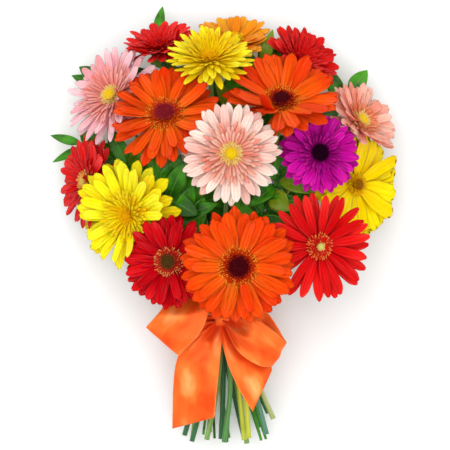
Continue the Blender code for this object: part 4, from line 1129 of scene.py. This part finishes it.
def strip(name, sections, waves):
    """Thin closed strip of cloth through pairs of edge points, pleated at the knot, and its length."""
    left, right = (smooth_path(edge, STRIP_STEPS) for edge in zip(*sections))
    t = np.linspace(0, 1, STRIP_COLUMNS)
    middle = (left + right) / 2
    chord = np.linalg.norm(right - left, axis=1)
    normal = unit(np.cross(unit(np.gradient(middle, axis=0)), right - left))
    height = np.array([pleat_height(c, waves) for c in chord])
    share = np.linspace(0, 1, len(left))
    if name.endswith("loop"):
        share = 2 * np.minimum(share, 1 - share)
    height = height * (1 - 0.92 * step_up(share / PLEATS_END))
    wave = height[:, None] * np.sin(math.tau * waves * t) * np.sin(math.pi * t) ** 0.4
    along = np.concatenate(([0], np.cumsum(np.linalg.norm(np.diff(middle, axis=0), axis=1))))
    wave = wave + ripples(along, t, waves) * step_up(share / 0.3)[:, None]
    flat = left[:, None, :] + (right - left)[:, None, :] * t[None, :, None]
    grid = flat + normal[:, None, :] * wave[:, :, None]
    skin = np.cross(np.gradient(grid, axis=0), np.gradient(grid, axis=1))
    skin /= np.linalg.norm(skin, axis=2)[:, :, None] + 1e-9
    return slab(grid, skin * RIBBON_HALF_THICK, look_of(along[:, None] / 450, t, 0.5)), along[-1]


def slab(middle, offset, look, closed=False):
    """Thin closed sheet of even thickness about a middle grid, with its rim."""
    rows, columns = middle.shape[:2]
    top = np.arange(rows * columns).reshape(rows, columns)
    low = top + rows * columns
    if closed:
        top_n, low_n = np.roll(top, -1, axis=0), np.roll(low, -1, axis=0)
    else:
        top_n, low_n = top[1:], low[1:]
        top, low = top[:-1], low[:-1]
    faces = [quads(top[:, :-1], top_n[:, :-1], top_n[:, 1:], top[:, 1:]),
             quads(low[:, :-1], low[:, 1:], low_n[:, 1:], low_n[:, :-1]),
             quads(top[:, 0], low[:, 0], low_n[:, 0], top_n[:, 0]),
             quads(top[:, -1], top_n[:, -1], low_n[:, -1], low[:, -1])]
    if not closed:
        faces.append(quads(top[0, :-1], top[0, 1:], low[0, 1:], low[0, :-1]))
        faces.append(quads(top_n[-1, :-1], low_n[-1, :-1], low_n[-1, 1:], top_n[-1, 1:]))
    points = np.concatenate(((middle + offset).reshape(-1, 3), (middle - offset).reshape(-1, 3)))
    return points, np.concatenate(faces), np.tile(look.reshape(-1, 4), (2, 1))


KNOT_PLACE = np.array((-1.0, 0, 22))
KNOT_SIZE = np.array((9.0, 9.0, 7.0))
KNOT_END = 8.7
# distance from the knot over which the satin takes a painted shade; beyond it, its full light colour
KNOT_SHADE = 100


def knot():
    """The tied middle: a turn of pleated cloth, drawn in over the loops."""
    rows, sides = 19, 32
    points, looks = [], []
    for i in range(rows):
        v = -1 + 2 * i / (rows - 1)
        swell = math.sqrt(max(1 - (abs(v) * 0.86) ** 2.6, 0))
        for k in range(sides):
            angle = math.tau * k / sides
            groove = 1 - 0.09 * abs(math.sin(v * 9 + 0.7 * math.sin(angle)))
            points.append(KNOT_PLACE + KNOT_SIZE * np.array((
                0.95 * v, swell * groove * math.cos(angle), swell * groove * math.sin(angle))))
            looks.append((k / sides * 0.1, (v + 1) / 2, 0.5, 0))
    points += [KNOT_PLACE - (KNOT_END, 0, 0), KNOT_PLACE + (KNOT_END, 0, 0)]
    looks += [(0, 0, 0.5, 0)] * 2
    faces = [[face[0], *face[:0:-1]] for face in ring_faces(rows, sides)]
    return np.array(points), faces, np.array(looks, float)


WRAP_HALF = 13.5
WRAP_ROOM = 1.6
WRAP_FLARE = 1.2
WRAP_FOLD = 1.0
WRAP_WAVES = 22


def wrap(bundle):
    """The turn of ribbon round the stems, drawn into folds."""
    angle, place = np.meshgrid(circle(48), np.linspace(-1, 1, 71), indexing="ij")
    fold = WRAP_FOLD * np.sin(place * WRAP_WAVES + 0.5 * np.sin(angle * 2))
    radius = (bundle + WRAP_ROOM + WRAP_FLARE * place ** 2 + fold)[:, :, None]
    outward = np.stack((np.cos(angle), 0 * angle, np.sin(angle)), axis=-1)
    middle = outward * radius + np.stack((0 * place, place * WRAP_HALF, 0 * place), axis=-1)
    # tone 0 gives the wrap the full painted shade of the knot
    look = look_of(angle / 10, place / 2 + 0.5, 0)
    return slab(middle, outward * RIBBON_HALF_THICK, look, closed=True)


# low and high green of each kind of stem, and its cut end
STEM_SHADES = {
    "pale": "9eac60 c4ce88 d6dea0",
    "light": "689446 92b462 c8d68c",
    "middle": "407e3a 649c4e bcce82",
    "dark": "225c30 3e7a44 aac482",
    "blue": "3a7458 629878 becea0",
    "yellow": "b0ba24 d2d448 e2e282",
}
STEM_SHADE = {
    "orange_front": "middle", "pink_middle": "light", "red_right": "blue", "orange_left": "dark",
    "orange_right": "yellow", "magenta": "yellow", "red_low_left": "dark", "yellow_left": "dark",
    "yellow_top": "light", "yellow_right": "pale", "pink_left": "pale", "red_left": "light",
    "salmon_right": "dark", "red_top_left": "dark", "red_top_right": "blue", "amber_top": "dark",
}
# colours that share the slot of another
SLOT_COLOUR = {"crimson": "red", "rose": "pink", "golden": "yellow"}
EYE_SLOTS = {entry["node"][:-4]: entry["material_slot"] for entry in frame["record"]["subparts"]
             if entry["node"].endswith("_eye")}


def build():
    rng = random.Random(7)
    paths, bundle = all_routes()
    greens = {shade: stem_paint("stem_" + shade, codes) for shade, codes in STEM_SHADES.items()}
    bract = stem_paint("bract_green", "3a6820 688e38 789646")
    leafy = leaf_paint("ruscus_leaf", "0e4e00 429e08 88940e 8cc050")
    # satin colours: tint of its reflections, painted shade, its own orange, painted highlight, painted shade
    # near the knot, and the painted highlight of its edges
    satin = satin_paint("orange_satin", "ffc882 ec460a fb6c24 ffa862 e83c08 ff9650")

    for bloom, path in zip(BLOOMS, paths):
        name = bloom.name
        fine, radii = stem_of(bloom, path)
        piece(name + "_stalk", [tube(fine, radii, 14, rng.random(), 0.015)], greens[STEM_SHADE[name]],
              "gerbera_stem", name + "_stem")
        crowd.add(tube(fine[::3], radii[::3] + CLEAR, 6), name)
        piece(name + "_bracts", calyx_of(bloom, rng), bract, "gerbera_stem")
        crowd.add(turned(frame_of(bloom), [*CUP, (bloom.eye_radius + 6, 5.0), (2, 9.0)], 10), name)

    # ribbon
    for name, sections in RIBBON_SECTIONS.items():
        shape, long = strip(name, sections, PLEATS[name])
        points, _, looks = shape
        # the tone of the ribbon is its distance from the knot, which sets the painted shade near it
        looks[:, 2] = np.clip(np.linalg.norm(points - KNOT_PLACE, axis=1) / KNOT_SHADE, 0, 1)
        crowd.add(shape, "ribbon")
        piece("ribbon_" + name, [shape], satin, "satin_ribbon", "ribbon_bow")
    tied = piece("ribbon_knot", [knot()], satin, "satin_ribbon", "ribbon_bow")
    turn = piece("ribbon_wrap", [wrap(bundle)], satin, "satin_ribbon", "ribbon_bow")
    [bloom.name + "_stalk" for bloom in BLOOMS[:3]]

    # ruscus
    sprays = {}
    for (name, _), path in zip(SPRAYS, paths[len(BLOOMS):]):
        fine = smooth_path(path, 5)
        fine[:, 2] = np.maximum(fine[:, 2], GROUND + TWIG_RADIUS * 0.9)
        radii = np.full(len(fine), TWIG_RADIUS)
        shapes = [tube(fine, radii, 8, 0.4)]
        crowd.add(tube(fine[::2], radii[::2] + CLEAR, 5), name)
        for leaf in packed_leaves(name, path):
            shapes.append(leaf_shape(*leaf, rng))
            crowd.add(rough_leaf(leaf), name)
        sprays[name] = (shapes, fine)

    # blooms
    for bloom in BLOOMS:
        name = bloom.name
        colours = PETALS[bloom.colour]
        slot = SLOT_COLOUR.get(bloom.colour, bloom.colour) + "_petals"
        outer, inner = petals_of(bloom, rng)
        piece(name + "_rays", outer, petal_paint(name + "_petal", colours), slot, name + "_petals")
        if inner:
            colours = INNER_PETALS.get(bloom.colour, colours)
            piece(name + "_crest", inner, petal_paint(name + "_inner_petal", colours), slot)
        disc, floret = EYES[bloom.eye][2:]
        piece(name + "_ring", ring_of(bloom, rng), floret_paint(name + "_floret", floret), slot)
        piece(name + "_disc", disc_of(bloom, rng), disc_paint(name + "_buds", disc), EYE_SLOTS[name],
              name + "_eye")

    # further leaves, where the blooms leave room
    for name, (shapes, fine) in sprays.items():
        for leaf in filling(name, fine, rng) if name in FILLED else []:
            shapes.append(leaf_shape(*leaf, rng))
            crowd.add(rough_leaf(leaf), name + "_more")
        piece(name + "_spray", shapes, leafy, "ruscus", name)


# straight above the bunch, in the tables' own lengths
CAMERA_PLACE = (1, 97, 1560)
SENSOR = 36
FOCAL_LENGTH = 120
# places and sizes in metres, and power
FLOOR_SIZE = 8
SKY_LIGHT = 0.85
LAMPS = (("key", (-0.4, 0.5, 2.1), 18, 1.6), ("fill", (0.5, -0.5, 2.0), 9, 1.6))
LIT_PLACE = (0, 0, 0.05)


def stage():
    """Pale floor, soft lights and the camera above."""
    bpy.ops.mesh.primitive_plane_add(size=FLOOR_SIZE)
    floor = bpy.context.object
    floor.name = "floor"
    paint = Paint("floor_white", 0.9, 0.1)
    grain = paint.noise(paint.place(), 4.0, 2.0)
    floor.data.materials.append(paint.colour(paint.tint((0.94,) * 3, (0.96,) * 3, grain, 0.3, 0.7)))
    world = bpy.data.worlds.new("studio")
    bpy.context.scene.world = world
    world.use_nodes = True
    sky = world.node_tree.nodes["Background"]
    sky.inputs[0].default_value = (1, 1, 1, 1)
    sky.inputs[1].default_value = SKY_LIGHT
    for name, place, power, size in LAMPS:
        light = bpy.data.lights.new(name, "AREA")
        light.energy = power
        light.size = size
        lamp = linked(name, light)
        lamp.location = place
        lamp.rotation_euler = (Vector(LIT_PLACE) - Vector(place)).to_track_quat("-Z", "Y").to_euler()
    view = bpy.data.cameras.new("camera")
    view.sensor_width = SENSOR
    view.lens = FOCAL_LENGTH
    camera = linked("camera", view)
    camera.location = (np.array(CAMERA_PLACE) - ORIGIN) * MM
    bpy.context.scene.camera = camera
    bpy.context.scene.view_settings.view_transform = "Standard"


stage()
build()
